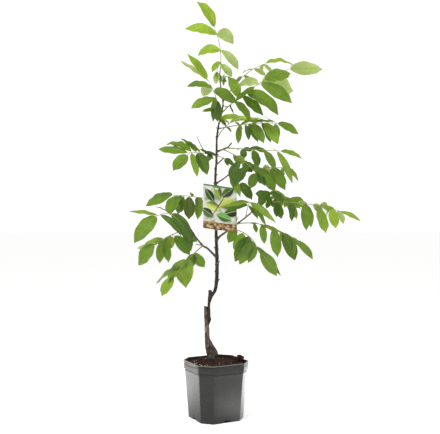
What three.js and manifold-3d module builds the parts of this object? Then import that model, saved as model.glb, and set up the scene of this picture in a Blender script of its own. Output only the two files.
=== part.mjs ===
// A young grafted walnut tree, about 1.3 m tall, in a square nursery pot.
// Millimetres, +Z up. The origin is the centre of the pot's underside, -Y is the front.
import * as THREE from "three";
import { mergeVertices } from "three/addons/utils/BufferGeometryUtils.js";
import Module from "manifold-3d";

const wasm = await Module();
wasm.setup();

// ---- Driving dimensions ----------------------------------------------------------------

const GAP = 0.3; // air left between two pieces that touch on the real plant

// Nursery pot: a square with broad chamfered corners, so each level is an octagon,
// given by its width across the flats and the length of a chamfer.
const POT = {
  height: 181.6,
  base: { across: 150, chamfer: 42 },
  underBand: { across: 170, chamfer: 46 },
  band: { across: 175, chamfer: 48, height: 26 },
  lip: { across: 180, chamfer: 49, height: 2.4 },
  wall: 1.6,
  floor: 2.4,
  footBevel: 1.5,
  turn: 27.5, // degrees about Z that the pot stands turned from the front
};
const DRAIN = { width: 28, height: 6, depth: 7 }; // an arched notch at each flat's foot

const SOIL = { level: 176, edgeDrop: 3, bump: 1.6, flatShare: 0.48, seed: 5 };
const BARK_CHIPS = { count: 11, size: 9, nearest: 40, furthest: 70, seed: 9 };
const RIM_CHIP = { at: [62, -4, 178], size: 12 }; // the chip that stands above the rim

// Limbs: x, y, z and radius at each bend, from the foot up.
const ROOTSTOCK = [
  [-13, 12, 170, 11.5], [-16, 12, 182, 9.5], [-22, 12, 203, 8.2], [-27, 12, 228, 8],
  [-28, 13, 265, 8.1], [-29.5, 13, 296, 7.3], [-32, 13, 322, 6], [-33.2, 13, 348, 4.2],
  [-33.4, 13, 352, 3.4],
];
const ROOT_CROWN = [
  [-6, 8, 170, 11], [-4, 9, 190, 9.4], [-3.5, 10, 208, 8], [-8, 11, 226, 5.6],
  [-17, 12, 244, 4.4],
];
const BACK_ROOT = [[-16, 24, 170, 7.5], [-16, 20, 186, 6.6], [-20, 14, 212, 5]];
const SCION = [
  [-24, 13, 294, 3.4], [-21.8, 13, 309, 6.4], [-23, 13, 330, 4.6], [-22.6, 13, 356, 4.5],
  [-19.4, 13, 386, 5.5], [-18.4, 13, 403.6, 5.7],
];
const LEADER = [
  [-20, 13, 366, 4.2], [-14.5, 15, 383, 5], [-7.5, 16, 394, 5.2], [-1.1, 16, 408, 5.5],
  [2.6, 15, 437, 5.8], [3.6, 14, 472, 5.9], [3.4, 14, 506, 5.7], [1.4, 14, 565, 5],
  [0.3, 14, 600, 4.6], [-1, 14, 660, 4.2], [-1.8, 14, 746, 3.9], [-0.6, 14, 790, 3.7],
  [1.4, 13, 810, 3.5], [2.2, 13, 847, 3.3], [3, 12, 890, 3.1], [6.5, 12, 920, 2.9],
  [10, 11, 938, 2.8], [18.4, 10, 971, 2.6], [22.8, 9, 1008, 2.4], [15.6, 8, 1055, 2.1],
  [11.8, 7, 1087, 1.8],
];
const BOUGHS = {
  bough_low_left: [
    [3, 14, 508, 4], [-8, 9, 519, 3.5], [-27, 0, 538, 3.1], [-41, -8, 547, 2.9],
    [-62, -16, 572, 2.6], [-76, -20, 594, 2.4],
  ],
  bough_low_right: [
    [1.5, 14, 562, 4], [12, 14, 575, 3.4], [35, 15, 592, 3], [68, 17, 616, 2.7],
    [110, 19, 649, 2.4], [134, 20, 680, 2.2],
  ],
  bough_mid_right: [
    [2.2, 13, 847, 3.2], [11, 9, 850, 2.7], [22, 5, 854, 2.5], [37, 1, 860, 2.4],
    [46, -1, 869, 2.1],
  ],
  bough_inner_right: [
    [-1.4, 14, 742, 3.2], [8, 6, 750, 2.6], [22, -6, 758, 2.4], [36, -18, 768, 2.1],
  ],
};

// Masses of foliage, each a few compound leaves on one stem. A mass grows on from the tip of
// its bough, or from the place `from` on a limb's centre line. A compound leaf has a stalk (its
// rib) to `to`, pairs of leaflets along it and one leaflet at its end:
// bow: how far the rib's middle bends off its chord
// faces: bearing and climb that the leaf's upper side turns to
// pairs, first, last: how many, and the shares of the rib where the first and last stand
// size, sizes: length of the end leaflet, and of the first and last pair as shares of it
// spread, hang, droop: for the right and left leaflets, their angle to the rib, how far they
// fall, and how far they curve down
// wide: width of a leaflet as a share of its length
// tip: how far the end leaflet falls
const LEAF = {
  last: 0.95, sizes: [0.6, 1], spread: [60, 60], droop: [0.15, 0.15], tip: 0.1, wide: 0.42,
};
const MASSES = {
  foliage_top: [{
    on: "leader", to: [-5, 5, 1242], bow: [12, 0, 0], faces: [-108, 5], pairs: 3, first: 0.17,
    last: 0.86, size: 118, sizes: [0.55, 1.02], spread: [64, 50], hang: [0, 0],
    droop: [0.8, 0.2], wide: 0.34, seed: 3,
  }],
  foliage_top_left: [{
    from: [10, 11, 938], to: [-26, -40, 1069], bow: [12, -8, 0], faces: [-90, 22], pairs: 4,
    first: 0.3, size: 106, sizes: [0.7, 0.95], spread: [75, 46], hang: [0.35, 0.06],
    droop: [0.3, 0.4], wide: 0.38, seed: 8,
  }],
  foliage_top_right: [{
    from: [18.4, 10, 971], to: [238, 50, 1120], bow: [-3, 0, 15], faces: [-90, 26], pairs: 4,
    first: 0.26, last: 0.66, size: 114, sizes: [0.66, 1.05], spread: [62, 42],
    hang: [0.1, 0.25], droop: [0.22, 0.6], wide: 0.44, seed: 2,
  }],
  foliage_top_back: [{
    from: [22.8, 9, 1008], to: [168, 190, 1166], bow: [-5, 10, 20], faces: [-50, 50], pairs: 3,
    first: 0.5, size: 96, spread: [60, 60], hang: [0.3, 0.3], seed: 6,
  }],
  foliage_upper_right: [{
    from: [6.5, 12, 920], to: [204, 120, 952], bow: [0, 0, 7], faces: [-90, 42], pairs: 4,
    first: 0.34, size: 86, sizes: [0.85, 1], spread: [52, 50], hang: [0.62, 0.25],
    wide: 0.46, seed: 4,
  }],
  foliage_upper_back: [{
    from: [3, 12, 890], to: [62, 190, 968], bow: [0, 0, 10], faces: [-90, 55], pairs: 3,
    first: 0.5, size: 86, hang: [0.4, 0.4], seed: 30,
  }],
  foliage_mid_right: [{
    on: "bough_mid_right", to: [200, -50, 844], bow: [0, 0, 5], faces: [-90, 42], pairs: 4,
    first: 0.2, size: 84, sizes: [0.6, 1.1], spread: [48, 45], hang: [0.6, 0.2],
    droop: [0.25, 0.15], wide: 0.44, seed: 7,
  }],
  foliage_front_right: [{
    from: [22, 5, 854], to: [122, -130, 770], bow: [10, 0, 22], faces: [-60, 50], pairs: 4,
    first: 0.3, size: 84, sizes: [0.75, 1], spread: [64, 56], hang: [0.4, 0.4],
    wide: 0.5, seed: 5,
  }],
  foliage_inner_right: [{
    on: "bough_inner_right", to: [236, 40, 797], bow: [0, 0, 10], faces: [-90, 40], pairs: 5,
    first: 0.26, size: 74, sizes: [0.8, 1.1], spread: [50, 50], hang: [0.55, 0.3],
    wide: 0.44, seed: 11,
  }],
  foliage_right: [{
    on: "bough_low_right", to: [396, -10, 656], bow: [0, 0, 13], faces: [-90, 42], pairs: 6,
    first: 0.22, size: 74, sizes: [0.6, 1.1], spread: [66, 55], hang: [0.8, 0.15],
    wide: 0.44, seed: 13,
  }, {
    on: "bough_low_right", to: [254, 190, 704], bow: [0, 0, 10], faces: [-60, 60], pairs: 4,
    first: 0.36, size: 84, hang: [0.4, 0.4], seed: 31,
  }, {
    on: "bough_low_right", to: [170, -60, 716], bow: [0, 0, 8], faces: [-60, 50], pairs: 2,
    first: 0.6, size: 66, spread: [50, 50], hang: [0.5, 0.4], seed: 34,
  }],
  foliage_label: [{
    from: [96, 18.4, 638], to: [106, -90, 684], bow: [0, 0, 10], faces: [-100, 30], pairs: 2,
    first: 0.6, size: 80, sizes: [1, 1], spread: [78, 50], hang: [0.3, 0.6], wide: 0.34,
    seed: 14,
  }],
  foliage_low_right: [{
    from: [68, 17, 616], to: [242, -100, 568], bow: [0, 0, 20], faces: [-85, 42], pairs: 5,
    first: 0.24, size: 80, sizes: [0.5, 1.1], spread: [62, 55], hang: [0.72, 0.25], tip: 0.3,
    wide: 0.46, seed: 12,
  }],
  foliage_low_front: [{
    from: [48, 16, 602], to: [124, -110, 544], bow: [20, 0, 14], faces: [-70, 50], pairs: 4,
    first: 0.36, size: 86, sizes: [0.85, 1.05], spread: [76, 52], hang: [0.55, 0.5],
    wide: 0.5, seed: 15,
  }],
  foliage_low_back: [{
    from: [1, 14, 575], to: [20, 190, 640], bow: [0, 0, 10], faces: [-90, 60], pairs: 3,
    first: 0.45, size: 84, hang: [0.4, 0.4], seed: 32,
  }],
  foliage_upper_left: [{
    from: [1.8, 13, 834], to: [-90, 60, 848], bow: [0, 0, 4], faces: [-90, 40], pairs: 4,
    first: 0.34, size: 98, sizes: [0.64, 0.92], spread: [34, 98], hang: [0.03, 0.7],
    droop: [0.05, 0.15], wide: 0.42, seed: 17,
  }],
  foliage_mid_back: [{
    from: [-1.4, 14, 712], to: [-20, 190, 800], bow: [0, 0, 10], faces: [-90, 60], pairs: 3,
    first: 0.5, size: 78, hang: [0.4, 0.4], seed: 33,
  }],
  foliage_mid_left: [{
    from: [-1.2, 14, 690], to: [-146, 70, 710], bow: [0, 0, 4], faces: [-90, 40], pairs: 4,
    first: 0.3, size: 98, sizes: [0.7, 0.95], spread: [55, 84], hang: [0.1, 0.6],
    droop: [0.2, 0.2], wide: 0.46, seed: 18,
  }],
  foliage_left: [{
    on: "bough_low_left", to: [-182, -60, 641], bow: [0, 0, 26], faces: [-90, 36], pairs: 2,
    first: 0.62, size: 106, sizes: [1, 0.95], spread: [12, 104], hang: [0, 0.55],
    droop: [0.04, 0.1], tip: 0.4, wide: 0.44, seed: 20,
  }, {
    on: "bough_low_left", to: [-197, 40, 549], bow: [0, 0, 14], faces: [-90, 42], pairs: 4,
    first: 0.3, size: 88, sizes: [0.75, 1], spread: [50, 88], hang: [0.25, 0.66],
    wide: 0.46, seed: 21,
  }],
  foliage_lowest_left: [{
    from: [-41, -8, 547], to: [-128, -100, 455], bow: [0, 0, 6], faces: [-60, 40], pairs: 4,
    first: 0.28, size: 74, sizes: [0.9, 1.1], spread: [48, 72], hang: [0.4, 0.5],
    wide: 0.44, seed: 22,
  }],
};

// A mass's stem on its bough's tip: where its leaves part, and its places and swelling there.
const STEM = { reach: 5, rows: [[-2, 0.9], [3, 1.2], [7, 1.1]] };
const OUTLINE = [[0, 0.08], [0.28, 0.92], [0.64, 0.84], [1, 0.03]];
const LEAFLET_THICKNESS = 1.5;
const FOLD = 0.22; // how far its halves rise from the midrib
const RIB_RADII = [2.8, 1.9, 1.6, 1.4, 1.2, 1.1, 1];
const CLEAR = { leaf: 8, rib: 7, limb: 5, label: 11 }; // air that a leaflet keeps to other masses
const TURNS = [0, 0.12, -0.12, 0.24, -0.24, 0.36, -0.36, 0.5]; // other ways to hang it

// The card hangs turned, leaning and a little tilted, in degrees.
const LABEL = {
  width: 117, height: 148, thickness: 1, centre: [12.6, -10, 667],
  turn: 25, lean: 16, tilt: 7, corner: 4,
};
const STRAP = {
  height: 5, thickness: 0.9, at: [-1.8, 14, 728], stemRadius: 4.1, slack: 1.6, clear: 0.4,
};

// ---- Helpers ---------------------------------------------------------------------------

const UP = new THREE.Vector3(0, 0, 1);
const vec = (p) => new THREE.Vector3(p[0], p[1], p[2]);
const radians = THREE.MathUtils.degToRad;

// Seeded draws from 0 to 1.
function chance(seed) {
  let state = seed;
  return () => {
    state = (state + 0x6d2b79f5) | 0;
    let t = Math.imul(state ^ (state >>> 15), state | 1);
    t ^= t + Math.imul(t ^ (t >>> 7), t | 61);
    return ((t ^ (t >>> 14)) >>> 0) / 4294967296;
  };
}

function heading(bearing, climb) {
  const b = radians(bearing);
  const c = radians(climb);
  return new THREE.Vector3(Math.cos(b) * Math.cos(c), Math.sin(b) * Math.cos(c), Math.sin(c));
}

function toSolid(geometry) {
  const bare = geometry.clone();
  bare.deleteAttribute("normal");
  bare.deleteAttribute("uv");
  const merged = mergeVertices(bare, 1e-4);
  return new wasm.Manifold(new wasm.Mesh({
    numProp: 3,
    vertProperties: new Float32Array(merged.attributes.position.array),
    triVerts: new Uint32Array(merged.index.array),
  }));
}

function toGeometry(solid) {
  const mesh = solid.getMesh();
  return new THREE.BufferGeometry()
    .setAttribute("position", new THREE.BufferAttribute(mesh.vertProperties, 3))
    .setIndex(new THREE.BufferAttribute(mesh.triVerts, 1));
}

// The largest outer skin of a solid: loose scraps go, and sealed hollows are filled.
function wholeBody(solid) {
  return solid.decompose().reduce((a, b) => (b.volume() > a.volume() ? b : a));
}

function piece(name, solid, material) {
  const mesh = new THREE.Mesh(toGeometry(wholeBody(solid)), material);
  mesh.name = name;
  return mesh;
}

// A closed skin over rings of points, each as long as the next, with a flat end at each end.
function loft(rings) {
  const count = rings[0].length;
  const points = rings.flat();
  const faces = [];
  for (let r = 0; r + 1 < rings.length; r++)
    for (let i = 0; i < count; i++) {
      const j = (i + 1) % count;
      const [a, b] = [r * count, (r + 1) * count];
      faces.push(a + i, a + j, b + j, a + i, b + j, b + i);
    }
  const last = (rings.length - 1) * count;
  for (let i = 1; i + 1 < count; i++)
    faces.push(0, i + 1, i, last, last + i, last + i + 1);
  return new THREE.BufferGeometry().setFromPoints(points).setIndex(faces);
}

function radiusAt(rows, t) {
  const place = Math.min(t * (rows.length - 1), rows.length - 1.0001);
  const row = Math.floor(place);
  return THREE.MathUtils.lerp(rows[row][3], rows[row + 1][3], place - row);
}

// A tapering limb through rows of x, y, z and radius; extra thickens it all round.
function limb(rows, sides, stepsPerRow, extra = 0) {
  const curve = new THREE.CatmullRomCurve3(rows.map(vec), false, "catmullrom", 0.5);
  const steps = (rows.length - 1) * stepsPerRow;
  const rings = [];
  let across = new THREE.Vector3(1, 0, 0);
  for (let s = 0; s <= steps; s++) {
    const t = s / steps;
    const along = curve.getTangent(t);
    across = across.clone().addScaledVector(along, -across.dot(along)).normalize();
    const over = along.clone().cross(across);
    const radius = radiusAt(rows, t) + extra;
    const at = curve.getPoint(t);
    if (s === 0) at.addScaledVector(along, -extra);
    if (s === steps) at.addScaledVector(along, extra);
    rings.push(Array.from({ length: sides }, (_, i) => {
      const angle = (2 * Math.PI * i) / sides;
      return at.clone()
        .addScaledVector(across, radius * Math.cos(angle))
        .addScaledVector(over, radius * Math.sin(angle));
    }));
  }
  return toSolid(loft(rings));
}

const union = (solids) => solids.reduce((a, b) => a.add(b));

// ---- Pot, soil and label ---------------------------------------------------------------

function octagon({ across, chamfer }, z, inset = 0) {
  const half = across / 2 - inset;
  const flat = (across - chamfer * Math.SQRT2) / 2 - inset * Math.tan(Math.PI / 8);
  const corners = [
    [half, -flat], [half, flat], [flat, half], [-flat, half],
    [-half, flat], [-half, -flat], [-flat, -half], [flat, -half],
  ];
  const turn = radians(POT.turn);
  return corners.map(([x, y]) => new THREE.Vector3(x, y, z).applyAxisAngle(UP, turn));
}

function drainNotch(index) {
  const arch = new THREE.Shape();
  arch.moveTo(-DRAIN.width / 2, -1);
  arch.lineTo(DRAIN.width / 2, -1);
  arch.absellipse(0, 0, DRAIN.width / 2, DRAIN.height, 0, Math.PI);
  const cut = new THREE.ExtrudeGeometry(arch, {
    depth: 2 * DRAIN.depth, bevelEnabled: false, curveSegments: 5,
  });
  cut.rotateX(Math.PI / 2);
  cut.translate(0, POT.base.across / 2 + DRAIN.depth, 0);
  cut.rotateZ(radians(POT.turn + 90 * index));
  return toSolid(cut);
}

function makePot() {
  const { height, base, underBand, band, lip, wall, floor, footBevel } = POT;
  const bandFoot = height - band.height;
  const lipFoot = height - lip.height;
  const shell = toSolid(loft([
    octagon(base, 0, footBevel),
    octagon(base, footBevel),
    octagon(underBand, bandFoot),
    octagon(band, bandFoot + wall),
    octagon(band, lipFoot),
    octagon(lip, lipFoot + wall / 2),
    octagon(lip, height - wall / 2),
    octagon(lip, height, wall / 2),
    octagon(band, height, wall),
    octagon(band, bandFoot + wall, wall),
    octagon(underBand, bandFoot, wall),
    octagon(base, floor, wall),
  ]));
  return [0, 1, 2, 3].reduce((pot, i) => pot.subtract(drainNotch(i)), shell);
}

// A ring's points with the ones between them, so that it has more of them.
function finer(ring, parts) {
  return ring.flatMap((p, i) => {
    const next = ring[(i + 1) % ring.length];
    return Array.from({ length: parts }, (_, k) => p.clone().lerp(next, k / parts));
  });
}

function barkChip(at, size, draw) {
  const chip = new THREE.IcosahedronGeometry(size / 2, 0);
  chip.scale(1, 0.5 + 0.3 * draw(), 0.35 + 0.2 * draw());
  chip.rotateX((draw() - 0.5) * 1.2);
  chip.rotateZ(draw() * Math.PI);
  chip.translate(at[0], at[1], at[2]);
  return toSolid(chip);
}

function makeSoil() {
  const { base, underBand, band, wall, floor, height } = POT;
  const inset = wall + GAP;
  const bandFoot = height - band.height;
  const draw = chance(SOIL.seed);
  const edge = finer(octagon(band, SOIL.level, inset), 2);
  const surface = [1, 0.83, 0.65, SOIL.flatShare].map((share) => edge.map((p) => {
    const outward = (share - SOIL.flatShare) / (1 - SOIL.flatShare);
    const bump = outward > 0 ? (draw() - 0.5) * 2 * SOIL.bump : 0;
    return new THREE.Vector3(
      p.x * share, p.y * share, SOIL.level - SOIL.edgeDrop * outward ** 2 + bump);
  }));
  const body = toSolid(loft([
    finer(octagon(base, floor + GAP, inset + GAP), 2),
    finer(octagon(underBand, bandFoot, inset + GAP), 2),
    finer(octagon(band, bandFoot + wall + GAP, inset), 2),
    ...surface,
  ]));
  const chipDraw = chance(BARK_CHIPS.seed);
  const chips = [];
  for (let i = 0; i < BARK_CHIPS.count; i++) {
    const angle = 2.4 * i;
    const far = THREE.MathUtils.lerp(BARK_CHIPS.nearest, BARK_CHIPS.furthest, chipDraw());
    const at = [far * Math.cos(angle), far * Math.sin(angle), SOIL.level - 1.2];
    chips.push(barkChip(at, BARK_CHIPS.size * (0.7 + 0.6 * chipDraw()), chipDraw));
  }
  chips.push(barkChip(RIM_CHIP.at, RIM_CHIP.size, chipDraw));
  return union([body, ...chips]);
}

// The card's frame: x runs to its right, y to its back and z to its top.
function labelFrame() {
  return new THREE.Matrix4()
    .makeRotationZ(radians(LABEL.turn))
    .multiply(new THREE.Matrix4().makeRotationX(-radians(LABEL.lean)))
    .multiply(new THREE.Matrix4().makeRotationY(radians(LABEL.tilt)))
    .setPosition(vec(LABEL.centre));
}

// A loop round the leader that passes in front of the card; extra swells it on all sides.
function makeStrap(extra = 0) {
  const { height, thickness, at, slack, stemRadius } = STRAP;
  const cardNormal = new THREE.Vector3(0, 1, 0).transformDirection(labelFrame());
  const outOfStem = vec(at).sub(vec(LABEL.centre));
  const toCard = outOfStem.dot(cardNormal) / Math.cos(radians(LABEL.lean));
  const leaning = (height / 2) * Math.tan(radians(LABEL.lean));
  const front = toCard + LABEL.thickness + leaning + GAP;
  const band = (grow, kind) => {
    const outline = new kind();
    const w = stemRadius + slack + grow;
    const b = stemRadius + GAP + grow;
    const f = -front - grow;
    outline.moveTo(-w, 0);
    outline.lineTo(-w, f + w / 2);
    outline.quadraticCurveTo(-w, f, 0, f);
    outline.quadraticCurveTo(w, f, w, f + w / 2);
    outline.lineTo(w, 0);
    outline.quadraticCurveTo(w, b, 0, b);
    outline.quadraticCurveTo(-w, b, -w, 0);
    return outline;
  };
  const ring = band(thickness + extra, THREE.Shape);
  ring.holes.push(band(-extra, THREE.Path));
  const loop = new THREE.ExtrudeGeometry(ring, {
    depth: height + 2 * extra, bevelEnabled: false, curveSegments: 5,
  });
  loop.translate(0, 0, -height / 2 - extra);
  loop.rotateZ(radians(LABEL.turn));
  loop.translate(at[0], at[1], at[2]);
  return toSolid(loop);
}

function makeLabel() {
  const { width, height, thickness, corner } = LABEL;
  const [w, h] = [width / 2 - corner, height / 2 - corner];
  const card = new THREE.Shape();
  card.absarc(w, -h, corner, -Math.PI / 2, 0);
  card.absarc(w, h, corner, 0, Math.PI / 2);
  card.absarc(-w, h, corner, Math.PI / 2, Math.PI);
  card.absarc(-w, -h, corner, Math.PI, 1.5 * Math.PI);
  const plate = new THREE.ExtrudeGeometry(card, {
    depth: thickness, bevelEnabled: false, curveSegments: 4,
  });
  plate.rotateX(Math.PI / 2);
  plate.translate(0, thickness / 2, 0);
  plate.applyMatrix4(labelFrame());
  return toSolid(plate).subtract(makeStrap(STRAP.clear));
}

// ---- Trunk and boughs ------------------------------------------------------------------

function trunkSolid(extra = 0) {
  const body = union([
    limb(ROOTSTOCK, 9, 2, extra), limb(ROOT_CROWN, 8, 2, extra), limb(BACK_ROOT, 7, 2, extra),
    limb(SCION, 8, 2, extra), limb(LEADER, 8, 1, extra),
  ]);
  const below = new THREE.BoxGeometry(200, 200, 40);
  below.translate(0, 0, SOIL.level + GAP - 20);
  return body.subtract(toSolid(below));
}

const limbRows = { leader: LEADER, ...BOUGHS };

// The place and direction of a limb's tip.
function limbTip(name) {
  const curve = new THREE.CatmullRomCurve3(limbRows[name].map(vec), false, "catmullrom", 0.5);
  return { at: curve.getPoint(1), along: curve.getTangent(1) };
}

// ---- Foliage ---------------------------------------------------------------------------

// Where a mass starts: on a limb's side, or a little beyond the tip of its own bough.
function footOf(leaf) {
  if (leaf.from) return vec(leaf.from);
  const { at, along } = limbTip(leaf.on);
  return at.addScaledVector(along, STEM.reach);
}

// The short stem that carries a mass from its bough's tip.
function stemSolid(bough) {
  const { at, along } = limbTip(bough);
  const tipRadius = limbRows[bough].at(-1)[3];
  return limb(STEM.rows.map(([reach, swelling]) =>
    [...at.clone().addScaledVector(along, reach).toArray(), tipRadius * swelling]), 6, 1);
}

function makeRib(leaf) {
  const start = footOf(leaf);
  const end = vec(leaf.to);
  const control = start.clone().lerp(end, 0.5).addScaledVector(vec(leaf.bow), 2);
  return new THREE.QuadraticBezierCurve3(start, control, end);
}

function ribSolid(rib) {
  const last = RIB_RADII.length - 1;
  const rows = RIB_RADII.map((radius, i) => [...rib.getPoint(i / last).toArray(), radius]);
  return limb(rows, 5, 1);
}

// Where each leaflet of a compound leaf stands and points, before it is fitted in.
function leafletsOf(leaf, rib) {
  const draw = chance(leaf.seed);
  const upper = heading(...leaf.faces);
  const places = [];
  for (let pair = 0; pair < leaf.pairs; pair++) {
    const share = leaf.pairs > 1 ? pair / (leaf.pairs - 1) : 1;
    const t = THREE.MathUtils.lerp(leaf.first, leaf.last, share);
    for (const side of [1, -1])
      places.push({ t: t + 0.02 * side, side, share });
  }
  places.push({ t: 1, side: 0, share: 1 });
  return places.map(({ t, side, share }) => {
    const along = rib.getTangent(t);
    const normal = upper.clone().addScaledVector(along, -upper.dot(along)).normalize();
    const right = along.clone().cross(normal);
    const hand = side === 1 ? 0 : 1;
    const angle = side === 0 ? 0 : radians(leaf.spread[hand] + (draw() - 0.5) * 20);
    const out = along.clone().multiplyScalar(Math.cos(angle))
      .addScaledVector(right, side * Math.sin(angle))
      .addScaledVector(normal, (draw() - 0.5) * 0.24).normalize();
    const longest = side === 0 ? 1 : THREE.MathUtils.lerp(...leaf.sizes, share);
    const length = leaf.size * longest * (0.92 + 0.16 * draw());
    const twist = radians((draw() - 0.5) * 36);
    const hang = side === 0 ? leaf.tip : leaf.hang[hand];
    const droop = side === 0 ? Math.min(...leaf.droop) : leaf.droop[hand];
    return { foot: rib.getPoint(t), out, normal, length, twist, hang, droop, wide: leaf.wide };
  });
}

// Lets a leaflet fall by its hang.
function hung(leaflet, more) {
  const hang = THREE.MathUtils.clamp(leaflet.hang + more, 0, 0.95);
  const dir = leaflet.out.clone().multiplyScalar(1 - hang).addScaledVector(UP, -hang).normalize();
  const turn = new THREE.Quaternion().setFromUnitVectors(leaflet.out, dir);
  const normal = leaflet.normal.clone().applyQuaternion(turn);
  normal.addScaledVector(dir, -normal.dot(dir)).normalize().applyAxisAngle(dir, leaflet.twist);
  return { ...leaflet, dir, normal };
}

// The blade's midrib at t from 0 to 1, its way along and across there, and its upper side.
function bladeFrame({ foot, dir, normal, length, droop }, t) {
  const at = foot.clone().addScaledVector(dir, length * t * (1 - 0.15 * droop * t))
    .addScaledVector(UP, -droop * length * t * t);
  const along = dir.clone().addScaledVector(UP, -2 * droop * t).normalize();
  const upper = normal.clone().addScaledVector(along, -normal.dot(along)).normalize();
  return { at, upper, across: along.clone().cross(upper) };
}

function halfWidthAt({ length, wide }, t) {
  const row = OUTLINE.findIndex(([end]) => end >= t && end > 0);
  const [[t0, w0], [t1, w1]] = [OUTLINE[row - 1], OUTLINE[row]];
  return (length * wide * THREE.MathUtils.mapLinear(t, t0, t1, w0, w1)) / 2;
}

function bladePoint(leaflet, t, s) {
  const { at, upper, across } = bladeFrame(leaflet, t);
  const reach = s * halfWidthAt(leaflet, t);
  return at.addScaledVector(across, reach).addScaledVector(upper, Math.abs(reach) * FOLD);
}

function bladeSamples(leaflet) {
  return [0.1, 0.25, 0.4, 0.55, 0.7, 0.85, 1].flatMap((t) =>
    [-0.9, -0.45, 0, 0.45, 0.9].map((s) => bladePoint(leaflet, t, s)));
}

function bladeSolid(leaflet) {
  return toSolid(loft(OUTLINE.map(([t]) => {
    const { at, upper } = bladeFrame(leaflet, t);
    const half = (LEAFLET_THICKNESS / 2) * (1 - 0.6 * t);
    return [
      bladePoint(leaflet, t, -1),
      at.clone().addScaledVector(upper, half),
      bladePoint(leaflet, t, 1),
      at.clone().addScaledVector(upper, -half),
    ];
  })));
}

const taken = []; // what stands already: points with their owner and the air they need

function isClear(samples, owner) {
  return samples.every((p) => taken.every((other) =>
    other.owner === owner || p.distanceToSquared(other.at) > other.clear ** 2));
}

function takeLimb(name) {
  const curve = new THREE.CatmullRomCurve3(limbRows[name].map(vec), false, "catmullrom", 0.5);
  const steps = 8 * (limbRows[name].length - 1);
  for (let s = 0; s <= steps; s++) {
    const clear = radiusAt(limbRows[name], s / steps) + CLEAR.limb;
    taken.push({ at: curve.getPoint(s / steps), owner: name, clear });
  }
}

function takeLabel() {
  const frame = labelFrame();
  for (let i = -4; i <= 4; i++)
    for (let j = -5; j <= 5; j++) {
      const at = new THREE.Vector3((i / 8) * LABEL.width, 0, (j / 10) * LABEL.height);
      taken.push({ at: at.applyMatrix4(frame), owner: "label", clear: CLEAR.label });
    }
}

function takeRib(name, rib) {
  for (let s = 1; s <= 50; s++)
    taken.push({ at: rib.getPoint(s / 50), owner: name, clear: CLEAR.rib });
}

// Hangs a leaflet where it is clear of the other masses, or gives nothing.
function fitted(leaflet, owner) {
  for (const more of TURNS) {
    const tried = hung(leaflet, more);
    const samples = bladeSamples(tried);
    if (isClear(samples, owner)) {
      samples.forEach((at) => taken.push({ at, owner, clear: CLEAR.leaf }));
      return tried;
    }
  }
  return null;
}

function growMasses() {
  const ribs = new Map(Object.entries(MASSES).map(([name, leaves]) =>
    [name, leaves.map(makeRib)]));
  Object.keys(limbRows).forEach(takeLimb);
  takeLabel();
  ribs.forEach((list, name) => list.forEach((rib) => takeRib(name, rib)));
  return Object.entries(MASSES).map(([name, leaves]) => {
    const parts = leaves[0].on ? [stemSolid(leaves[0].on)] : [];
    leaves.forEach((leaf, i) => {
      const rib = ribs.get(name)[i];
      parts.push(ribSolid(rib));
      leafletsOf({ ...LEAF, ...leaf }, rib).forEach((leaflet) => {
        const blade = fitted(leaflet, name);
        if (blade) parts.push(bladeSolid(blade));
      });
    });
    return [name, union(parts)];
  });
}

// ---- Materials and assembly ------------------------------------------------------------

const finish = (color, roughness) => new THREE.MeshStandardMaterial({
  color, roughness, metalness: 0,
});
const potPlastic = finish("#4a4846", 0.55);
const potting = finish("#33211b", 0.95);
const bark = finish("#6a5a4c", 0.85);
const shootBark = finish("#6b6250", 0.75);
const foliage = finish("#5f8f2f", 0.55);
const card = finish("#b9c27a", 0.5);
const strapPlastic = finish("#d8d8d0", 0.5);

const tree = new THREE.Group();
tree.add(piece("pot", makePot(), potPlastic));
tree.add(piece("soil", makeSoil(), potting));
tree.add(piece("trunk", trunkSolid(), bark));
tree.add(piece("label", makeLabel(), card));
tree.add(piece("label_strap", makeStrap(), strapPlastic));

const trunkRoom = trunkSolid(GAP);
for (const [name, rows] of Object.entries(BOUGHS))
  tree.add(piece(name, limb(rows, 7, 2).subtract(trunkRoom), shootBark));

const limbRoom = union([trunkRoom, ...Object.values(BOUGHS).map((rows) =>
  limb(rows, 7, 2, GAP))]);
for (const [name, mass] of growMasses())
  tree.add(piece(name, mass.subtract(limbRoom), foliage));

export default tree;
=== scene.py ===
# %% [markdown]
# # A young grafted walnut tree in its nursery pot
#
# This lesson dresses a plain solid model of a potted walnut. The solids say where each limb,
# leaf and wall of the pot is. Here each of them gets the surface that the real one has: ribbed
# leaflets, cracked bark, scuffed plastic, crumbly potting mix and a printed card.
#
# Growing things are never modelled leaf by leaf by hand. A short rule and a table of sizes grow
# the whole crown, and seeded draws make every run give the same tree.

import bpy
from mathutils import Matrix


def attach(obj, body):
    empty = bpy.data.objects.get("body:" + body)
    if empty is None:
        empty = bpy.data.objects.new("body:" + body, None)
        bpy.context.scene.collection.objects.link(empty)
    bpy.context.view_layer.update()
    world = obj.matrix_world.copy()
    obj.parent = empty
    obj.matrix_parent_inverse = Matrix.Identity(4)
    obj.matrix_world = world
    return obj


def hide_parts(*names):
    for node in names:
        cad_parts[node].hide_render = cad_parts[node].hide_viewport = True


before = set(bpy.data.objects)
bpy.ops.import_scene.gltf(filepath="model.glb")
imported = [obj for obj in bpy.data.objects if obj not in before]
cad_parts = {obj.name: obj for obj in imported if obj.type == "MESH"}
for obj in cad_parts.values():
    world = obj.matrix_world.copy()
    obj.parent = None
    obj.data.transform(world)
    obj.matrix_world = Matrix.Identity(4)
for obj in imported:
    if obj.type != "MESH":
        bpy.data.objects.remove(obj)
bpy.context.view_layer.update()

import math

import bmesh
import bpy
import numpy as np
from mathutils import Vector, noise

# %% [markdown]
# ## The camera comes first
#
# The plant is looked at from straight ahead, with the lens level and about half as high as the
# plant. A level lens keeps the pot's sides upright. A long lens, from 2.3 m away, keeps the
# leaves that point forward from looking too large.

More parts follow.
